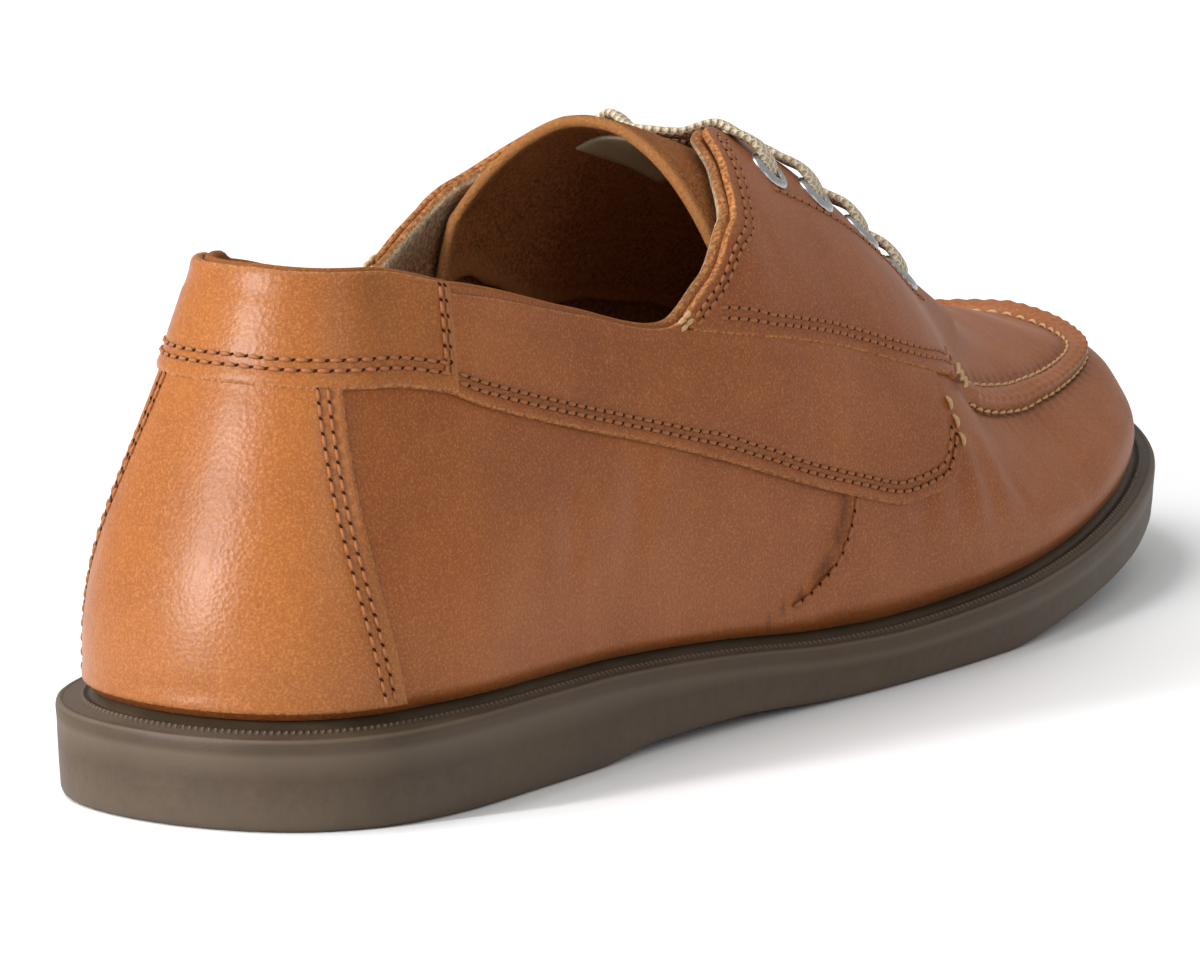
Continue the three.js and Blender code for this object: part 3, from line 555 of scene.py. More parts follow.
def leather(name, light, dark, matt):
    """Oiled leather: two tones in soft clouds, a fine pebbled grain with darker pores, raw suede on cut edges
    and painted shade in seams and troughs. Its colour goes redder towards the toe, and matt is its middle
    roughness."""
    f = Finish(name)
    place = f.place()
    y = f.node("ShaderNodeSeparateXYZ", None, {0: place}, "Y")
    cloud = f.noise(place, 26, 5, 0.6)
    cells = {"Vector": place, "Scale": 1150, "Randomness": 1}
    pores = f.node("ShaderNodeTexVoronoi", {"feature": "F1"}, cells, "Distance")
    fine = f.noise(place, 2300, 3, 0.6)
    streak = f.noise(place, 130, 4, 0.65)
    tone = f.blend(f.span(cloud, 0.24, 0.76), dark, light)
    tone = f.blend(f.span(y, -0.06, 0.12) * 0.35, tone, (0.235, 0.068, 0.014))
    tone = f.blend(f.span(fine, 0.45, 0.72) * 0.30, tone, (0.60, 0.27, 0.075))
    tone = f.blend(f.span(fine, 0.5, 0.25) * 0.22, tone, (0.14, 0.042, 0.010))
    tone = f.blend(f.span(pores, 0.28, 0.02) * 0.18, tone, (0.11, 0.034, 0.010))
    tone = f.blend(f.span(streak, 0.56, 0.78) * 0.10, tone, (0.52, 0.22, 0.06))
    # Painted shade: the shade value darkens seams, the troughs beside the ridge, the upper's foot and the
    # backs and cut edges of panels.
    tone = f.blend(f.value("shade"), tone, (0.05, 0.019, 0.009))
    nap = f.span(f.noise(place, 1500, 3, 0.7), 0.35, 0.65)
    tone = f.blend(f.value("edge"), tone, f.blend(nap, (0.16, 0.052, 0.014), (0.46, 0.185, 0.055)))
    rough = f.span(cloud, 0.3, 0.7, matt + 0.07, matt - 0.04)
    rough = rough + f.value("edge") * 0.35 + f.span(fine, 0.3, 0.7) * 0.06
    height = pores * 0.75 + fine * 0.55 + f.value("edge") * f.noise(place, 1500, 2) * 3
    under = f.bump(f.noise(place, 150, 2, 0.4), 0.0006, 0.14)
    return f.shader({"Base Color": tone, "Roughness": rough, "Normal": f.bump(height, 0.00016, 0.42, under),
                     "Specular IOR Level": 0.31})

def lining_finish():
    """Brown lining leather with a nap, raw suede on the cut edge, smooth skin on the collar's turned lip and
    off-white canvas along the throat."""
    f = Finish("lining_leather")
    place = f.place()
    nap = f.span(f.noise(place, 1300, 4, 0.7), 0.35, 0.65)
    tone = f.blend(nap, (0.18, 0.075, 0.03), (0.38, 0.18, 0.08))
    for mark, dark, light in (
        ("edge", (0.17, 0.058, 0.016), (0.44, 0.18, 0.055)),
        ("skin", (0.25, 0.08, 0.014), (0.31, 0.10, 0.019)),
        ("lip", (0.32, 0.22, 0.13), (0.60, 0.46, 0.30)),
    ):
        tone = f.blend(f.value(mark), tone, f.blend(nap, dark, light))
    return f.shader({"Base Color": tone, "Roughness": 0.85, "Normal": f.bump(nap, 0.0004, 0.7),
                     "Specular IOR Level": 0.25})

quarter_leather = leather("quarter_leather", (0.285, 0.077, 0.013), (0.200, 0.049, 0.008), 0.44)
PUCKER = 3.4
RIDGE_START = 0.655
RIDGE_FULL = 0.682
RIDGE_WIDTH = 0.072
RIDGE_OUTSIDE = 0.036
RIDGE_DIP = 0.085
RIDGE_DIP_RUN = (0.655, 0.81)
LEVEL_HEIGHT = 40
FOOT_DROP = 0.9
LIP_RISE = 0.9
RAW_EDGE_START = (0.352, 0.366)
# The seam of the vamp over the quarter: millimetres up, share along
VAMP_SEAM = [(12, 0.402), (16.2, 0.416), (19, 0.444), (24.4, 0.472), (33.9, 0.489), (50, 0.495)]
# Creases where the shoe bends: share along, level, length and width in mm, lean, depth in mm
CREASES = [
    (0.565, 0.36, 14, 2.4, 0.35, 0.32), (0.60, 0.42, 17, 2.8, 0.2, 0.36),
    (0.632, 0.38, 15, 2.5, -0.1, 0.34), (0.668, 0.45, 12, 2.2, -0.3, 0.28),
    (0.30, 0.42, 18, 3.4, 0.5, 0.3), (0.235, 0.36, 14, 3.0, 0.25, 0.25),
]
vamp_seam = curve(VAMP_SEAM, 1)

def ridge_run(turn):
    """Length along the ridge's line, in millimetres."""
    path = last_surface(turns, 1.0)
    length = np.concatenate([[0], np.cumsum(np.linalg.norm(np.diff(path, axis=0), axis=1))])
    return np.interp(np.mod(turn, 2), turns, length)

def ridge_level(turn):
    """The level of the ridge's crest: the shoulder, or below it where the flap's front covers it."""
    return 1 - RIDGE_DIP * (1 - smooth(*RIDGE_DIP_RUN, share_of(turn)))

def ridge_share(turn, level):
    """0 on the ridge's crest, 1 at its foot on the apron and -1 at its foot on the side."""
    above = level - ridge_level(turn)
    return above / np.where(above > 0, RIDGE_WIDTH, RIDGE_OUTSIDE)

def upper_relief(turn, level):
    """Millimetres added to the last: the ridge is 1 - t^2 across with cosine puckers along it and a trough
    on each side, the vamp's edge is a smooth step, a crease is a Gauss trough with a ridge on each side, and
    a low wave of sines lies over all of it but the foot and the spine."""
    share = share_of(turn)
    pucker = np.cos(2 * np.pi * ridge_run(turn) / PUCKER)
    ahead = smooth(RIDGE_START, RIDGE_FULL, share)
    t = ridge_share(turn, level)
    crest = np.maximum(0, 1 - t ** 2) ** 0.8 * RIDGE_HEIGHT * (0.80 + 0.045 * pucker)
    cleft = -0.25 * np.exp(-((t - 0.35) / 0.2) ** 2)
    trough = -(0.35 + 0.14 * pucker) * (np.exp(-((t - 1.25) / 0.42) ** 2) + np.exp(-((t + 1.3) / 0.5) ** 2))
    gathers = 0.08 * pucker * np.exp(-((t + 2.4) / 1.5) ** 2)
    relief = ahead * (crest + cleft + trough + gathers)
    z = last_surface(turn, level)[..., 2]
    ahead_of_seam = (share - vamp_seam(z)) * LENGTH
    over = smooth(-0.7, 0.8, ahead_of_seam)
    seam = 0.3 * over - 0.75 * (1 - over) * np.exp(-np.maximum(-ahead_of_seam, 0) / 7)
    relief = relief + seam * smooth(0, 0.12, level)
    for place, height, length, width, lean, depth in CREASES:
        across = (share - place) * LENGTH - lean * (level - height) * LEVEL_HEIGHT
        down = (level - height) * LEVEL_HEIGHT / (length / 2)
        pull = np.exp(-(across / width) ** 2) - 0.5 * np.exp(-((np.abs(across) - 2 * width) / width) ** 2)
        relief = relief - depth * pull * np.exp(-down ** 4)
    wave = np.sin(share * 41 + level * 5) * np.sin(share * 17 - level * 9) * 0.16
    return relief + wave * smooth(0, 0.2, level) * (1 - smooth(1.9, 2, level))

def upper():
    """Rows up the outside, closer together across the ridge, over a half-round lip and down the lining,
    closed at the feather edge. Where the apron is whole the two sides meet at the spine without a lip."""
    half = np.concatenate([
        np.linspace(0, HEEL_CENTRE, 40, endpoint=False), np.linspace(HEEL_CENTRE, 0.36, 50, endpoint=False),
        np.linspace(0.36, 0.48, 60, endpoint=False), np.linspace(0.48, 0.68, 50, endpoint=False),
        np.linspace(0.68, TOE_CENTRE, 70, endpoint=False), np.linspace(TOE_CENTRE, 1, 110),
    ])
    turn = np.concatenate([half, 2 - half[1:-1][::-1]])
    top = top_of(share_of(turn))
    flapped = smooth(1.1, 1.4, top)
    low_apron = 0.46 * top + (0.82 - 0.46 * top) * flapped
    high_apron = 0.56 * top + (1.12 - 0.56 * top) * flapped
    level = np.concatenate([
        np.linspace(0 * top, low_apron, 20, endpoint=False),
        np.linspace(low_apron, high_apron, 40, endpoint=False),
        np.linspace(high_apron, top, 16),
    ])
    around = np.broadcast_to(turn, level.shape)
    relief = upper_relief(around, level)
    outer = off_last(around, level, relief)
    outer[0, :, 2] -= FOOT_DROP
    rim_in, rim_out = off_last(turn, top, 0 * turn - WALL), outer[-1]
    up = unit(last_surface(turn, top) - last_surface(turn, top - 0.02)) * (top < CLOSED)[:, None]
    bends = np.radians([25, 55, 90, 125, 155])[:, None, None]
    lip = (rim_in + rim_out) / 2 + (rim_out - rim_in) / 2 * np.cos(bends) + up * LIP_RISE * np.sin(bends)
    down = np.array([1, 0.97, 0.9, 0.75, 0.6, 0.4, 0.2, 0])[:, None]
    inner = off_last(np.broadcast_to(turn, (8, len(turn))), down * top, np.full((8, len(turn)), -WALL))
    points = np.concatenate([outer, lip, inner])
    rows, columns = points.shape[:2]
    quads = grid_quads(rows + 1, columns, wrap=True) % (rows * columns)
    row = np.repeat(np.arange(rows), columns)
    closed = top > CLOSED
    whole = np.tile(closed & np.roll(closed, -1), rows)
    at_lip = (row >= len(outer) - 1) & (row < len(outer) + len(lip))
    kept = ~(at_lip & whole)
    edge = np.zeros((rows, columns))
    shade = np.zeros((rows, columns))
    ahead = smooth(RIDGE_START, RIDGE_FULL, share_of(around))
    t = ridge_share(turn, level)
    # Painted shade: the vamp seam's groove, the troughs on both flanks of the ridge and the foot row along the
    # sole are darkened.
    seam = np.exp(-(((share_of(around) - vamp_seam(outer[..., 2])) * LENGTH + 0.3) / 0.7) ** 2)
    trough_shade = 0.2 * np.exp(-((t - 1.3) / 0.35) ** 2) + 0.5 * np.exp(-((t + 1.35) / 0.4) ** 2)
    shade[:len(outer)] = ahead * trough_shade + 0.6 * seam
    shade[0] = 0.4
    edge[:len(outer)] = 0.12 * ahead * np.exp(-(t / 0.5) ** 2)
    raw = smooth(*RAW_EDGE_START, share_of(turn))
    edge[len(outer) - 1:len(outer) + 3] = 0.9 * raw
    skin = np.zeros((rows, columns))
    skin[len(outer) - 1:len(outer) + len(lip) + 2] = 1 - raw
    lips = np.zeros((rows, columns))
    lips[len(outer) + 3:len(outer) + len(lip) + 2] = raw
    lips[len(outer) + len(lip) + 2] = 0.5 * raw
    values = {"edge": edge, "shade": shade, "lip": lips, "skin": skin}
    inside = (lining_finish(), (row >= len(outer) - 1)[kept])
    piece("upper_leather", points, quads[kept], quarter_leather, "tan_leather", ["upper"], values, inside)

upper()


# The overlays
# Leather panels cut and laid on the upper, sewn with two rows: the cuff round the collar, the counter patch
# down the heel, the strip along each side and the two lace flaps, whose cut edges show raw suede.
CUFF_END_LOW = 0.155
CUFF_HEIGHT = 0.205
COUNTER_TOP = 0.065
BAND_END = 0.612
FLAP_START = 0.372
FLAP_END = 0.772
SEAM_SPACE = 0.006
SEAM_LEVEL = 0.012
FLAP_GAP = 0.4
FLAP_TOP = 1.55
PANEL_BACK = 0.3
PANEL_LEAST = 0.03
# The rows of stitches: millimetres in from the panel's edge
CUFF_ROWS = (3.0, 4.6)
COUNTER_ROWS = (2.4, 4.0)
BAND_ROWS = (2.2, 3.7)
FLAP_ROWS = (2.4, 4.0)
# The strip's lower edge, the flap's seam on it and the flap's front: share along, share of BACK_HEIGHT up
BAND_EDGE = [
    (0.12, 0.778), (0.21, 0.673), (0.35, 0.535), (0.497, 0.373),
    (0.545, 0.335), (0.585, 0.345), (0.613, 0.415),
]
FLAP_SEAM = [(0.365, 0.745), (0.5, 0.645), (0.6, 0.545), (0.655, 0.5)]
FLAP_FRONT = [(0.613, 0.43), (0.665, 0.49), (0.72, 0.53), (0.775, 0.556)]
band_edge, flap_seam, flap_front = curve(BAND_EDGE, 1), curve(FLAP_SEAM, 1), curve(FLAP_FRONT, 1)

def spaced(count, size):
    """Shares from 0 to 1 in even steps, with closer ones within 2 mm of both ends of a length in mm."""
    near = np.array([0, 0.15, 0.4, 0.8, 1.3, 2]) / size
    return np.concatenate([near, np.linspace(near[-1], 1 - near[-1], count)[1:-1], 1 - near[::-1]])

def sheet_quads(rows, columns):
    """Quads of a closed sheet: an outer grid, an inner one after it, and strips round the four edges."""
    outer = np.arange(rows * columns).reshape(rows, columns)
    inner = outer + rows * columns
    strip = lambda a, b: np.stack([a[:-1], a[1:], b[1:], b[:-1]], -1)
    return np.concatenate([
        grid_quads(rows, columns), grid_quads(rows, columns)[:, ::-1] + rows * columns,
        strip(inner[0], outer[0]), strip(outer[-1], inner[-1]),
        strip(outer[:, 0], inner[:, 0]), strip(inner[:, -1], outer[:, -1]),
    ])

def panel(name, turn, level, thick, under, finish, node, round_edge, sink):
    """A sheet on the last: its outside lies under + thick out, and falls to its edges in a quarter round.
    sink gives what stitching pulls it in by, in millimetres, at each distance from the edge."""
    flat = last_surface(turn, level)
    runs = []
    for axis in (0, 1):
        step = np.linalg.norm(np.diff(flat, axis=axis), axis=-1)
        run = np.concatenate([np.zeros_like(np.take(step, [0], axis)), np.cumsum(step, axis)], axis)
        runs.append(np.minimum(run, np.take(run, [-1], axis) - run))
    inset = np.minimum(*runs)
    edge = 1 - np.clip(inset / round_edge, 0, 1)
    outer = off_last(turn, level, under + thick * (0.5 + 0.5 * np.sqrt(1 - edge ** 2)) - sink(inset))
    inner = off_last(turn, level, np.full(turn.shape, max(under - PANEL_BACK, PANEL_LEAST)))
    raw = np.clip(1.25 - inset / 0.5, 0, 1)
    # Painted shade on the panel's inner sheet, which darkens its cut edges towards the back.
    values = {"edge": np.stack([raw, raw * 0 + 1]), "shade": np.stack([raw * 0, raw * 0 + 0.7])}
    quads = sheet_quads(*turn.shape)
    piece(name, np.stack([outer, inner]), quads, finish, "tan_leather", [node], values)

def stitched(rows_in, depth, width):
    """What two rows of stitches pull in: a soft Gauss trough round each row's distance from the edge."""
    return lambda inset: sum(depth * np.exp(-((inset - row) / width) ** 2) for row in rows_in)

heel_leather = leather("heel_leather", (0.305, 0.096, 0.019), (0.215, 0.061, 0.011), 0.32)
flap_leather = leather("flap_leather", (0.262, 0.068, 0.014), (0.190, 0.046, 0.009), 0.46)

def heel_cuff():
    """Rows from the lower edge, which follows the collar CUFF_HEIGHT below it, to the collar."""
    u, v = spaced(170, 150)[None, :], spaced(16, 18)[:, None]
    low_turn = CUFF_END_LOW * (2 * u - 1)
    high_turn = CUFF_END * (2 * u - 1)
    low = level_at(low_turn, last_surface(low_turn, 1.0)[..., 2] - CUFF_HEIGHT * BACK_HEIGHT)
    turn = low_turn + (high_turn - low_turn) * v
    level = low + (1.0 - low) * v
    panel("cuff_leather", turn, level, OVERLAY, GAP, heel_leather, "heel_cuff", 1.2,
          stitched(CUFF_ROWS, 0.22, 0.9))
    return low_turn[0], low[0]

def heel_counter():
    """Rows from the sole up to just under the cuff, narrowing as they go."""
    u, v = spaced(90, 70)[None, :], spaced(50, 50)[:, None]
    foot_turn = COUNTER_FOOT * (2 * u - 1)
    top_turn = COUNTER_TOP * (2 * u - 1)
    high = level_at(top_turn, last_surface(top_turn, 1.0)[..., 2] - CUFF_HEIGHT * BACK_HEIGHT) + 0.03
    curved = v + 0.22 * v * (1 - v)
    turn = foot_turn + (top_turn - foot_turn) * curved
    level = 0.002 + (high - 0.002) * v
    panel("counter_leather", turn, level, OVERLAY - 0.2, GAP - 0.15, heel_leather, "heel_counter", 0.9,
          stitched(COUNTER_ROWS, 0.2, 0.8))
    return turn[:, -1], level[:, -1]

def side_band(name, side):
    """Rows from the strip's lower edge to the collar, or to the seam of the lace flap ahead of it."""
    u, v = spaced(150, 130)[None, :], spaced(20, 20)[:, None]
    share_low = CUFF_END_LOW - SEAM_SPACE + (BAND_END - CUFF_END_LOW + SEAM_SPACE) * u
    share_high = CUFF_END - SEAM_SPACE + (BAND_END - CUFF_END + SEAM_SPACE) * u
    low = level_at(on_side(share_low, side), band_edge(share_low) * BACK_HEIGHT)
    seam = level_at(on_side(share_high, side), flap_seam(share_high) * BACK_HEIGHT)
    high = np.where(share_high < FLAP_SEAM[0][0], 0.985, np.minimum(seam + 0.02, 0.985))
    turn = on_side(share_low + (share_high - share_low) * v, side)
    level = low + (high - low) * v
    panel(f"strip_leather_{name}", turn, level, OVERLAY - 0.3, GAP - 0.2, quarter_leather,
          f"side_band_{name}", 0.9, stitched(BAND_ROWS, 0.2, 0.8))
    return on_side(share_low, side)[0], low[0]

def lace_flap(name, side):
    """Rows from the seam on the strip, or the front edge over the apron, up to the throat."""
    u, v = spaced(170, 120)[None, :], spaced(36, 28)[:, None]
    share = FLAP_START + (FLAP_END - FLAP_START) * u
    along = on_side(share, side)
    height = flap_seam(share) + (flap_front(share) - flap_seam(share)) * smooth(0.635, 0.685, share)
    low = level_at(along, height * BACK_HEIGHT) + SEAM_LEVEL
    high = np.maximum(top_of(share) - SEAM_LEVEL, low + 0.03)
    turn = np.broadcast_to(along, (v.size, u.size))
    level = low + (high - low) * v
    panel(f"flap_leather_{name}", turn, level, FLAP_TOP - FLAP_GAP, FLAP_GAP, flap_leather,
          f"eyestay_{name}", 0.7, stitched(FLAP_ROWS, 0.12, 0.8))
    return along[0], low[0], high[0]

cuff_edge = heel_cuff()
counter_edge = heel_counter()
SIDES = {"lateral": 1, "medial": -1}
band_edges = {name: side_band(name, side) for name, side in SIDES.items()}
flap_edges = {name: lace_flap(name, side) for name, side in SIDES.items()}


# The stitches
# Waxed tan thread, sewn by machine through the overlays in pairs of rows. Each stitch is pulled into the
# leather, and its needle holes show as small dark slanted dots of painted shade.
STITCH_PITCH = 2.45
STITCH_LENGTH = 2.15
THREAD = 0.8

def thread_finish(name, light, dark):
    """Waxed thread with a fine twist."""
    f = Finish(name)
    place = f.place()
    twist = f.noise(place, 1900, 2)
    tone = f.blend(twist, dark, light)
    return f.shader({"Base Color": tone, "Roughness": 0.6, "Normal": f.bump(twist, 0.0002, 0.6)})

def painted_shade_finish(name, tone):
    """Painted shade for the dark inside of a hole."""
    f = Finish(name)
    shade = f.blend(f.noise(f.place(), 900, 2), tone, tuple(0.5 * c for c in tone))
    return f.shader({"Base Color": shade, "Roughness": 0.9, "Specular IOR Level": 0.1})

def beside(turn, level, distance):
    """A path moved sideways by a distance in mm, to its left as seen from outside. Lengths are measured by
    the last's own scale round and up at each place."""
    step, climb_step = 0.004, 0.06
    about = last_surface(turn + step, level) - last_surface(turn - step, level)
    upward = last_surface(turn, level + climb_step) - last_surface(turn, level - climb_step)
    scale = [np.linalg.norm(about, axis=-1) / (2 * step), np.linalg.norm(upward, axis=-1) / (2 * climb_step)]
    run, climb = np.gradient(turn) * scale[0], np.gradient(level) * scale[1]
    size = np.maximum(np.hypot(run, climb), 1e-9)
    return turn - climb / size * distance / scale[0], level + run / size * distance / scale[1]

def frames_along(turn, level, off, pitch):
    """Evenly spaced places on a path over the last, with forward, side and up directions at each."""
    path = last_surface(turn, level)
    length = np.concatenate([[0], np.cumsum(np.linalg.norm(np.diff(path, axis=0), axis=1))])
    count = max(int(length[-1] / pitch), 2)
    at = (np.arange(count) + 0.5) * length[-1] / count
    turn, level = np.interp(at, length, turn), np.interp(at, length, level)
    up = outward(turn, level)
    place = last_surface(turn, level) + up * off
    forward = unit(np.gradient(place, axis=0))
    side = unit(np.cross(up, forward))
    return place, forward, side, np.cross(forward, side)

def stamped(template, frames):
    """A small shape repeated in every frame: place + x forward + y side + z up."""
    place, forward, side, up = frames
    x, y, z = (template[:, k][None, :, None] for k in range(3))
    return place[:, None] + forward[:, None] * x + side[:, None] * y + up[:, None] * z

def stitch_template(length, thick, rise, around=6):
    """A stitch lying along x: an arch of height rise, round in section, that thins to its ends."""
    rings, dip = 5, -0.25 * rise
    s = np.linspace(-1, 1, rings)[:, None]
    angle = np.linspace(0, 2 * np.pi, around, endpoint=False)[None, :]
    radius = thick / 2 * np.sqrt(1 - 0.82 * s ** 2)
    x = np.broadcast_to(s * length / 2, (rings, around))
    body = np.stack([x, radius * np.cos(angle), rise * (1 - s ** 2) + dip + radius * np.sin(angle)], -1)
    ends = np.array([[[-length / 2, 0, dip]] * around, [[length / 2, 0, dip]] * around])
    points = np.concatenate([ends[:1], body, ends[1:]])
    return points.reshape(-1, 3), grid_quads(rings + 2, around, wrap=True)

def hole_template(length, width, depth):
    """A needle hole as a low dome in the leather in painted shade: an ellipse of small height, slanted as
    y + 0.35 x.
    """
    rings, around = 4, 7
    bend = np.radians(np.linspace(-70, 90, rings))[:, None]
    angle = np.linspace(0, 2 * np.pi, around, endpoint=False)[None, :]
    x = length / 2 * np.cos(bend) * np.cos(angle)
    y = width / 2 * np.cos(bend) * np.sin(angle) + 0.35 * x
    dome = np.stack([x, y, depth * np.sin(bend) + 0 * angle], -1)
    points = np.concatenate([np.zeros((1, around, 3)) - [0, 0, depth], dome])
    return points.reshape(-1, 3), grid_quads(rings + 1, around, wrap=True)

def joined(shapes, quads, size):
    """Every copy's points in one list, and the template's quads repeated with each copy's offset."""
    copies = np.concatenate(shapes)
    offsets = np.arange(len(copies))[:, None, None] * size
    return copies.reshape(-1, 3), (quads[None] + offsets).reshape(-1, 4)

def window(path, low, high):
    """The part of a path between two shares of it, drawn finely."""
    turn, level = path
    t = np.linspace(low, high, 160) * (len(turn) - 1)
    index = np.arange(len(turn))
    return np.interp(t, index, turn), np.interp(t, index, level)

machine_rows = []

def sew(path, low, high, inset, off):
    """A row of stitches beside the part of a path from low to high, off millimetres above the last."""
    machine_rows.append((*beside(*window(path, low, high), inset), off))

for inset in CUFF_ROWS:
    sew(cuff_edge, 0.03, 0.97, inset, GAP + OVERLAY - 0.2)
for sign in (1, -1):
    for inset in (2.0, 3.4):
        climb = np.linspace(0.16, 0.97, 40)
        end_level = cuff_edge[1][-1] + (1 - cuff_edge[1][-1]) * climb
        end = sign * (CUFF_END_LOW + (CUFF_END - CUFF_END_LOW) * climb - inset / LENGTH)
        machine_rows.append((end, end_level, GAP + OVERLAY - 0.1))
    for inset in COUNTER_ROWS:
        turn, level = beside(*counter_edge, inset)
        machine_rows.append((sign * turn[4:-4], level[4:-4], GAP + OVERLAY - 0.5))
for name, side in SIDES.items():
    for inset in BAND_ROWS:
        sew(band_edges[name], 0.025, 0.985, side * inset, OVERLAY - 0.25)
    turn, low, high = flap_edges[name]
    for inset in FLAP_ROWS:
        sew((turn, low), 0.06, 0.74, side * inset, FLAP_TOP - 0.15)
        sew((turn, high), 0.02, 0.34, -side * inset, FLAP_TOP - 0.15)
    sew((turn, high), 0.36, 0.80, -side * 13.0, FLAP_TOP - 0.05)
    heights = np.linspace(17.5, 36, 60)
    seam_turn = on_side(vamp_seam(heights) + 1.9 / LENGTH, side)
    machine_rows.append((seam_turn, level_at(seam_turn, heights), 0.32))

def machine_stitches():
    """Stitches and needle holes along every machine-sewn row."""
    thread, quads = stitch_template(STITCH_LENGTH, THREAD, 0.24)
    hole, hole_quads = hole_template(0.9, 0.62, 0.28)
    stitches, holes = [], []
    for turn, level, off in machine_rows:
        frames = frames_along(turn, level, off, STITCH_PITCH)
        stitches.append(stamped(thread, frames))
        shifted = (frames[0] + frames[1] * STITCH_PITCH / 2, *frames[1:])
        holes.append(stamped(hole, shifted))
    brown = thread_finish("brown_thread", (0.34, 0.115, 0.026), (0.21, 0.064, 0.014))
    # Painted shade: the dark colour of the needle holes.
    dark = painted_shade_finish("needle_hole_shade", (0.045, 0.015, 0.006))
    piece("machine_stitches", *joined(stitches, quads, len(thread)), brown, "lace_cord")
    piece("needle_holes", *joined(holes, hole_quads, len(hole)), dark, "tan_leather")

machine_stitches()


# The hand sewing
# Thick waxed cream thread gathers the vamp onto the apron: short stitches on both flanks of the ridge, an
# upright row down the front of each strip, and tacks at the corner and at the root of the flap.
HAND_STITCH = 2.45
HAND_THREAD = 0.68
TACK_STITCH = 2.5
TACK_THREAD = 0.95
TACK_PITCH = 2.4
FRONT_PITCH = 2.9
cream = thread_finish("cream_thread", (0.56, 0.36, 0.17), (0.36, 0.19, 0.075))

def hand_stitches():
    """Stitches on the ridge's flanks, one to a pucker, and those of the strip's front end and the flap."""
    thread, quads = stitch_template(HAND_STITCH, HAND_THREAD, 0.3, 7)
    ring = np.linspace(RIDGE_FULL - 0.008, 2 - RIDGE_FULL + 0.008, 600)
    shapes = []
    for beyond, off in ((1.05 * RIDGE_WIDTH, 0.22), (-1.15 * RIDGE_OUTSIDE, 0.34)):
        shapes.append(stamped(thread, frames_along(ring, ridge_level(ring) + beyond, off, PUCKER)))
    piece("ridge_stitches", *joined(shapes, quads, len(thread)), cream, "lace_cord")
    short, quads = stitch_template(TACK_STITCH, TACK_THREAD, 0.35, 7)
    tacks = []

    def tack(turn, level, off, pitch):
        tacks.append(stamped(short, frames_along(turn, level, off, pitch)))

    for side in SIDES.values():
        front = on_side(np.full(40, BAND_END - 1.2 / LENGTH), side)
        tack(front, level_at(front, np.linspace(0.40, 0.50, 40) * BACK_HEIGHT), OVERLAY, FRONT_PITCH)
        root = on_side(np.linspace(0.363, 0.375, 12), side)
        for level in (0.95, 0.98):
            tack(root, np.full(12, level), OVERLAY - 0.45, TACK_PITCH)
        corner = on_side(np.linspace(0.648, 0.672, 12), side)
        for height in (43.2, 44.3, 45.4):
            tack(corner, level_at(corner, np.full(12, height)), FLAP_TOP + 0.1, TACK_PITCH)
    piece("end_stitches", *joined(tacks, quads, len(short)), cream, "lace_cord")

hand_stitches()


# The insole
# A smooth leather sock, cut to the inside of the upper and laid on the sole's top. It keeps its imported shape
# and gets its leather here.
def sock_finish():
    """Smooth brown sock leather with faint wear."""
    f = Finish("sock_leather")
    place = f.place()
    cloud = f.noise(place, 45, 4)
    grain = f.noise(place, 1500, 3)
    tone = f.blend(f.span(cloud, 0.3, 0.7), (0.28, 0.15, 0.075), (0.38, 0.21, 0.11))
    return f.shader({"Base Color": tone, "Roughness": 0.6, "Normal": f.bump(grain, 0.0002, 0.5)})

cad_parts["insole"].material_slots[0].material = sock_finish()


# The tongue
# Unlined leather, suede side to the foot, that goes on under the flaps from the apron and ends in a round
# top above the instep. A plain pale label is sewn to its inner side.
TONGUE_TOP = 0.452
TONGUE_FOOT = 0.79
TONGUE_TOP_WIDTH = 0.345
TONGUE_FOOT_WIDTH = 0.185
TONGUE_GAP = 1.4
TONGUE_DROP = 0.1
TONGUE_THICKNESS = 2
TONGUE_LENGTH = 100
TONGUE_HALF_WIDTH = 34
TONGUE_ROUND = 1.1
LABEL_ACROSS = (-0.34, 0.66)
LABEL_FORWARD = (0.12, 0.40)

def suede():
    """Brown suede with a short uneven nap, orange where it is cut."""
    f = Finish("tongue_suede")
    place = f.place()
    nap = f.noise(place, 1500, 5, 0.75)
    patch = f.noise(place, 110, 4, 0.6)
    tone = f.blend(f.span(nap, 0.35, 0.65), (0.13, 0.045, 0.014), (0.45, 0.165, 0.055))
    tone = f.blend(f.span(patch, 0.35, 0.7) * 0.5, tone, (0.34, 0.125, 0.042))
    tone = f.blend(f.value("edge"), tone, f.blend(nap, (0.26, 0.09, 0.026), (0.72, 0.32, 0.11)))
    height = nap + f.value("edge") * nap * 1.5
    return f.shader({"Base Color": tone, "Roughness": 0.95, "Normal": f.bump(height, 0.0007, 0.9),
                     "Specular IOR Level": 0.1})

def tongue_place(across, forward):
    """A place of the tongue: across from -1 to 1, forward from 0 at the top to 1 at the foot. The sides of
    its top start further forward as across^4, and are drawn back as across^2, more so on the medial side."""
    start = TONGUE_TOP + 0.012 * across ** 4
    share = start + (TONGUE_FOOT - start) * forward
    share = share - np.where(across < 0, 0.052, 0.03) * across ** 2 * (1 - forward)
    width = (TONGUE_TOP_WIDTH + (TONGUE_FOOT_WIDTH - TONGUE_TOP_WIDTH) * forward) * WIDTH * np.abs(across)
    turn = np.where(across >= 0, share, 2 - share)
    _, feather, _ = reach_of(turn)
    medial = np.where(across < 0, inner_reach(share), 1)
    shoulder = feather * shoulder_reach(share) * medial
    drop = TONGUE_DROP * (1 - forward) ** 2
    return turn, 2 - width / shoulder, WALL + TONGUE_GAP + drop

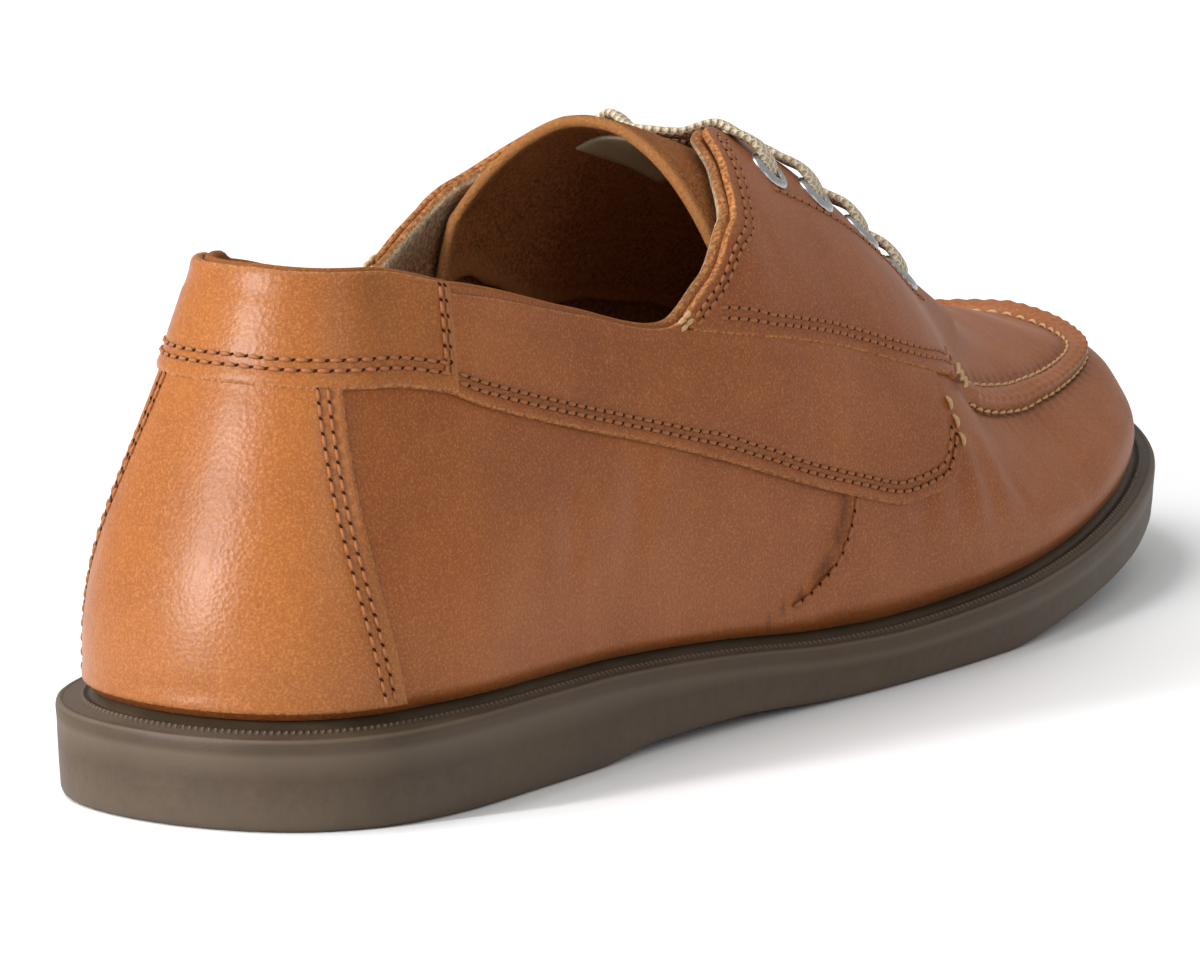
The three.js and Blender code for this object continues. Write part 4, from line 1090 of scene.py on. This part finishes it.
def tongue_skin(across, forward, deeper):
    """A grid on the tongue's surface, deeper millimetres under its outside. Near the middle the normals of
    the two sides are mixed, half and half on the spine, so that no line shows there."""
    across, forward = np.broadcast_arrays(across, forward)
    turn, level, depth = tongue_place(across, forward)
    ripple = 0.25 * np.sin(9 * forward + 2.5 * across) * np.sin(6 * across)
    other = 0.5 * np.clip(1 - np.abs(across) / 0.35, 0, 1)[..., None]
    facing = unit(outward(turn, level, 0.09) * (1 - other) + outward(2 - turn, level, 0.09) * other)
    return last_surface(turn, level) - facing * (depth + deeper + ripple)[..., None]

def tongue():
    """Outer and inner skins, drawn together in a quarter round at the edges."""
    near = np.array([0, 0.004, 0.012, 0.024])
    u = np.concatenate([-1 + near, np.linspace(-0.95, 0.95, 78), 1 - near[::-1]])
    v = np.concatenate([[0, 0.0015, 0.005, 0.01, 0.02], np.linspace(0.03, 1, 70)])
    across, forward = np.broadcast_arrays(u[None, :], v[:, None])
    inset = np.minimum(forward * TONGUE_LENGTH, (1 - np.abs(across)) * TONGUE_HALF_WIDTH)
    fall = 1 - np.clip(inset / TONGUE_ROUND, 0, 1)
    pinch = TONGUE_THICKNESS / 2 * (1 - np.sqrt(1 - fall ** 2)) * 0.8
    skins = [tongue_skin(across, forward, deeper) for deeper in (pinch, TONGUE_THICKNESS - pinch)]
    edge = np.clip(1.4 - inset / 1.6, 0, 1)
    quads = sheet_quads(*across.shape)
    piece("tongue_leather", np.stack(skins), quads, suede(), "suede", ["tongue"], {"edge": [edge, edge]})

def label_finish():
    """Pale woven tape."""
    f = Finish("label_tape")
    place = f.place()
    weave = f.noise(place, 2200, 2)
    tone = f.blend(weave, (0.30, 0.24, 0.15), (0.50, 0.42, 0.28))
    return f.shader({"Base Color": tone, "Roughness": 0.85, "Normal": f.bump(weave, 0.0002, 0.6)})

def tongue_label():
    """A small bare patch on the inner side of the tongue."""
    across, forward = np.linspace(*LABEL_ACROSS, 22)[None, :], np.linspace(*LABEL_FORWARD, 14)[:, None]
    skins = [tongue_skin(across, forward, TONGUE_THICKNESS + more) for more in (0.05, 0.5)]
    piece("tongue_label", np.stack(skins), sheet_quads(14, 22), label_finish(), "suede")

tongue()
tongue_label()


# The eyelets
# Eight nickel-plated brass rings, four a side, pressed through the flaps and rolled over. Where the lace
# doesn't fill the hole, a disc in painted shade shows as its dark inside.
EYELETS = [0.533, 0.583, 0.637, 0.688]
EYELET_LEVEL = 1.38
RING_STEPS = 40
WELL_STEPS = 20
# The ring's profile, closed on itself: millimetres from its axis, and above the flap
RING_PROFILE = [
    (2.3, -1.6), (2.3, -0.2), (2.38, 0.35), (2.6, 0.72), (2.9, 0.9), (3.25, 0.88), (3.65, 0.66),
    (3.98, 0.32), (4.15, 0.02), (4.1, -0.12), (3.1, -0.14), (2.65, -0.3), (2.6, -1.6), (2.3, -1.6),
]
# The dark hole's profile, in the same way
WELL_PROFILE = [(0, -0.1), (2.34, 0), (2.34, -0.6), (0, -0.6)]

def nickel():
    """Satin nickel with faint scratches, its roughness varying with them."""
    f = Finish("nickel_plate")
    place = f.place()
    scratch = f.noise(place, 1400, 3, 0.6)
    tone = f.blend(scratch, (0.30, 0.30, 0.30), (0.52, 0.52, 0.52))
    rough = f.span(scratch, 0.3, 0.7, 0.22, 0.36)
    return f.shader({"Base Color": tone, "Metallic": 1.0, "Roughness": rough,
                     "Normal": f.bump(scratch, 0.0001, 0.3)})

nickel_plate = nickel()
# Painted shade: a dark disc in each eyelet's hole.
well_shade = painted_shade_finish("eyelet_hole_shade", (0.02, 0.012, 0.008))

def around_axis(profile, turn, level, off, steps):
    """A profile turned round the last's outward direction at a place."""
    axis = outward(turn, level)
    side = unit(np.cross(axis, [0.0, 1.0, 0.0]))
    other = np.cross(axis, side)
    centre = last_surface(turn, level) + axis * off
    angle = np.linspace(0, 2 * np.pi, steps, endpoint=False)[None, :, None]
    radius, height = (np.array(profile)[:, k][:, None, None] for k in (0, 1))
    return centre + (side * np.cos(angle) + other * np.sin(angle)) * radius + axis * height

for name, side in SIDES.items():
    wells = []
    for i, share in enumerate(EYELETS):
        turn = on_side(share, side)
        node = f"eyelet_{name}_{i + 1}"
        ring = around_axis(RING_PROFILE, turn, EYELET_LEVEL, FLAP_TOP, RING_STEPS)
        quads = grid_quads(len(RING_PROFILE), RING_STEPS, wrap=True)
        piece(f"{node}_ring", ring, quads, nickel_plate, "nickel", [node])
        well = around_axis(WELL_PROFILE, turn, EYELET_LEVEL, FLAP_TOP, WELL_STEPS)
        wells.append(well.reshape(1, -1, 3))
    quads = grid_quads(len(WELL_PROFILE), WELL_STEPS, wrap=True)
    piece(f"eyelet_wells_{name}", *joined(wells, quads, wells[0].shape[1]), well_shade, "suede")


# The lace
# A flat braided cord in waxed cream cotton. It crosses the throat, comes over the flap's edge and dives into
# each eyelet from outside. Its ends stop behind the top eyelets.
LACE_WIDTH = 5
LACE_THICKNESS = 1.6
LACE_LIFT = 1.5
LACE_UNDER = -WALL - 0.9
BRAID_ALONG = 4.4
BRAID_ACROSS = 4.0
STRAND_STEPS = 90
STRAND_SIDES = 20

def braid():
    """Flat braid: two sets of diagonal ribs, sines of the run and across values, with painted shade in the
    hollows between them and faint random grime.
    """
    f = Finish("braided_lace")

    def ribs(sign):
        phase = f.value("run") * BRAID_ALONG + f.value("across") * (sign * BRAID_ACROSS)
        return f.node("ShaderNodeMath", {"operation": "SINE"}, {0: phase})

    both = f.node("ShaderNodeMath", {"operation": "MAXIMUM"}, {0: ribs(1), 1: ribs(-1)})
    grime = f.noise(f.place(), 240, 4, 0.6)
    # Painted shade: the hollows between the ribs get the darker tone.
    tone = f.blend(f.span(both, -0.1, 0.9), (0.50, 0.39, 0.25), (0.70, 0.58, 0.41))
    tone = f.blend(f.span(grime, 0.4, 0.75) * 0.25, tone, (0.52, 0.41, 0.27))
    return f.shader({"Base Color": tone, "Roughness": 0.8, "Normal": f.bump(both, 0.0005, 0.8),
                     "Sheen Weight": 0.1})

def strand(route):
    """A flat cord along a spline through places of the last. Its width lies along the shoe's length, and it
    narrows to the eyelet's hole where it dives. The section is a superellipse."""
    turn, level, off, wide = np.array(route).T
    centre = off_last(turn, level, off)
    along = last_surface(turn + 0.002, level) - last_surface(turn - 0.002, level)
    along = along * np.where(np.mod(turn, 2) > 1, -1, 1)[:, None]
    path, lay = spline(centre, STRAND_STEPS), spline(unit(along), STRAND_STEPS)
    places = np.linspace(0, len(route) - 1, STRAND_STEPS)
    width = np.interp(places, np.arange(len(route)), wide)
    forward = unit(np.gradient(path, axis=0))
    side = unit(lay - forward * (lay * forward).sum(1, keepdims=True))
    up = np.cross(side, forward)
    angle = np.linspace(0, 2 * np.pi, STRAND_SIDES, endpoint=False)[None, :]
    x = np.sign(np.cos(angle)) * np.abs(np.cos(angle)) ** 0.75 * width[:, None] / 2
    y = np.sign(np.sin(angle)) * np.abs(np.sin(angle)) ** 0.75 * LACE_THICKNESS / 2
    body = path[:, None] + side[:, None] * x[..., None] + up[:, None] * y[..., None]
    ends = [np.broadcast_to(path[k], body[0].shape) for k in (0, -1)]
    run = np.concatenate([[0], np.cumsum(np.linalg.norm(np.diff(path, axis=0), axis=1))])
    run = np.concatenate([[run[0]], run, [run[-1]]])
    points = np.concatenate([ends[0][None], body, ends[1][None]])
    across = np.concatenate([x[:1] * 0, x, x[-1:] * 0])
    return points.reshape(-1, 3), np.broadcast_to(run[:, None], across.shape).ravel(), across.ravel()

def into_eyelet(share, side):
    """The last places of a strand: over the flap's edge, over the ring and down through it."""
    turn, top, over = on_side(share, side), float(top_of(share)), FLAP_TOP + LACE_THICKNESS / 2
    return [
        (turn, top + 0.03, over - 0.3, LACE_WIDTH), (turn, top - 0.05, over + 0.1, LACE_WIDTH),
        (turn, EYELET_LEVEL + 0.105, over + 0.9, 4.6), (turn, EYELET_LEVEL + 0.02, over + 0.1, 4.2),
        (turn, EYELET_LEVEL - 0.01, 0.9, 3.8),
    ]

def lace():
    """A bar over the top, and from each next eyelet a strand up to the far flap, where it goes under."""
    ends = [into_eyelet(EYELETS[0], side) for side in SIDES.values()]
    bridge = [(EYELETS[0] - 0.004, 1.80, -1.9, LACE_WIDTH), (EYELETS[0] - 0.006, 1.95, -2.75, LACE_WIDTH)]
    far_bridge = [(2 - share, level, off, wide) for share, level, off, wide in bridge[::-1]]
    routes = [ends[0][::-1] + bridge + far_bridge + ends[1]]
    for above, here in zip(EYELETS, EYELETS[1:]):
        middle = (above + here) / 2
        for side, lift in ((1, 0), (-1, LACE_LIFT)):
            crossing = [
                (on_side(above, -side), 1.5, LACE_UNDER, LACE_WIDTH),
                (on_side(above + 0.006, -side), 1.64, LACE_UNDER, LACE_WIDTH),
                (on_side(middle - 0.012, -side), 1.82, -2.7 + 0.5 * lift, LACE_WIDTH),
                (on_side(middle + 0.004, side), 1.93, -2.2 + lift, LACE_WIDTH),
                (on_side(here - 0.012, side), 1.8, -0.5 + 0.3 * lift, LACE_WIDTH),
            ]
            routes.append(crossing + into_eyelet(here, side))
    strands, run, across = (np.stack(part) for part in zip(*map(strand, routes)))
    quads = grid_quads(STRAND_STEPS + 2, STRAND_SIDES, wrap=True)
    values = {"run": run, "across": across}
    piece("lace_braid", *joined([strands], quads, strands.shape[1]), braid(), "lace_cord", ["lace"], values)

lace()
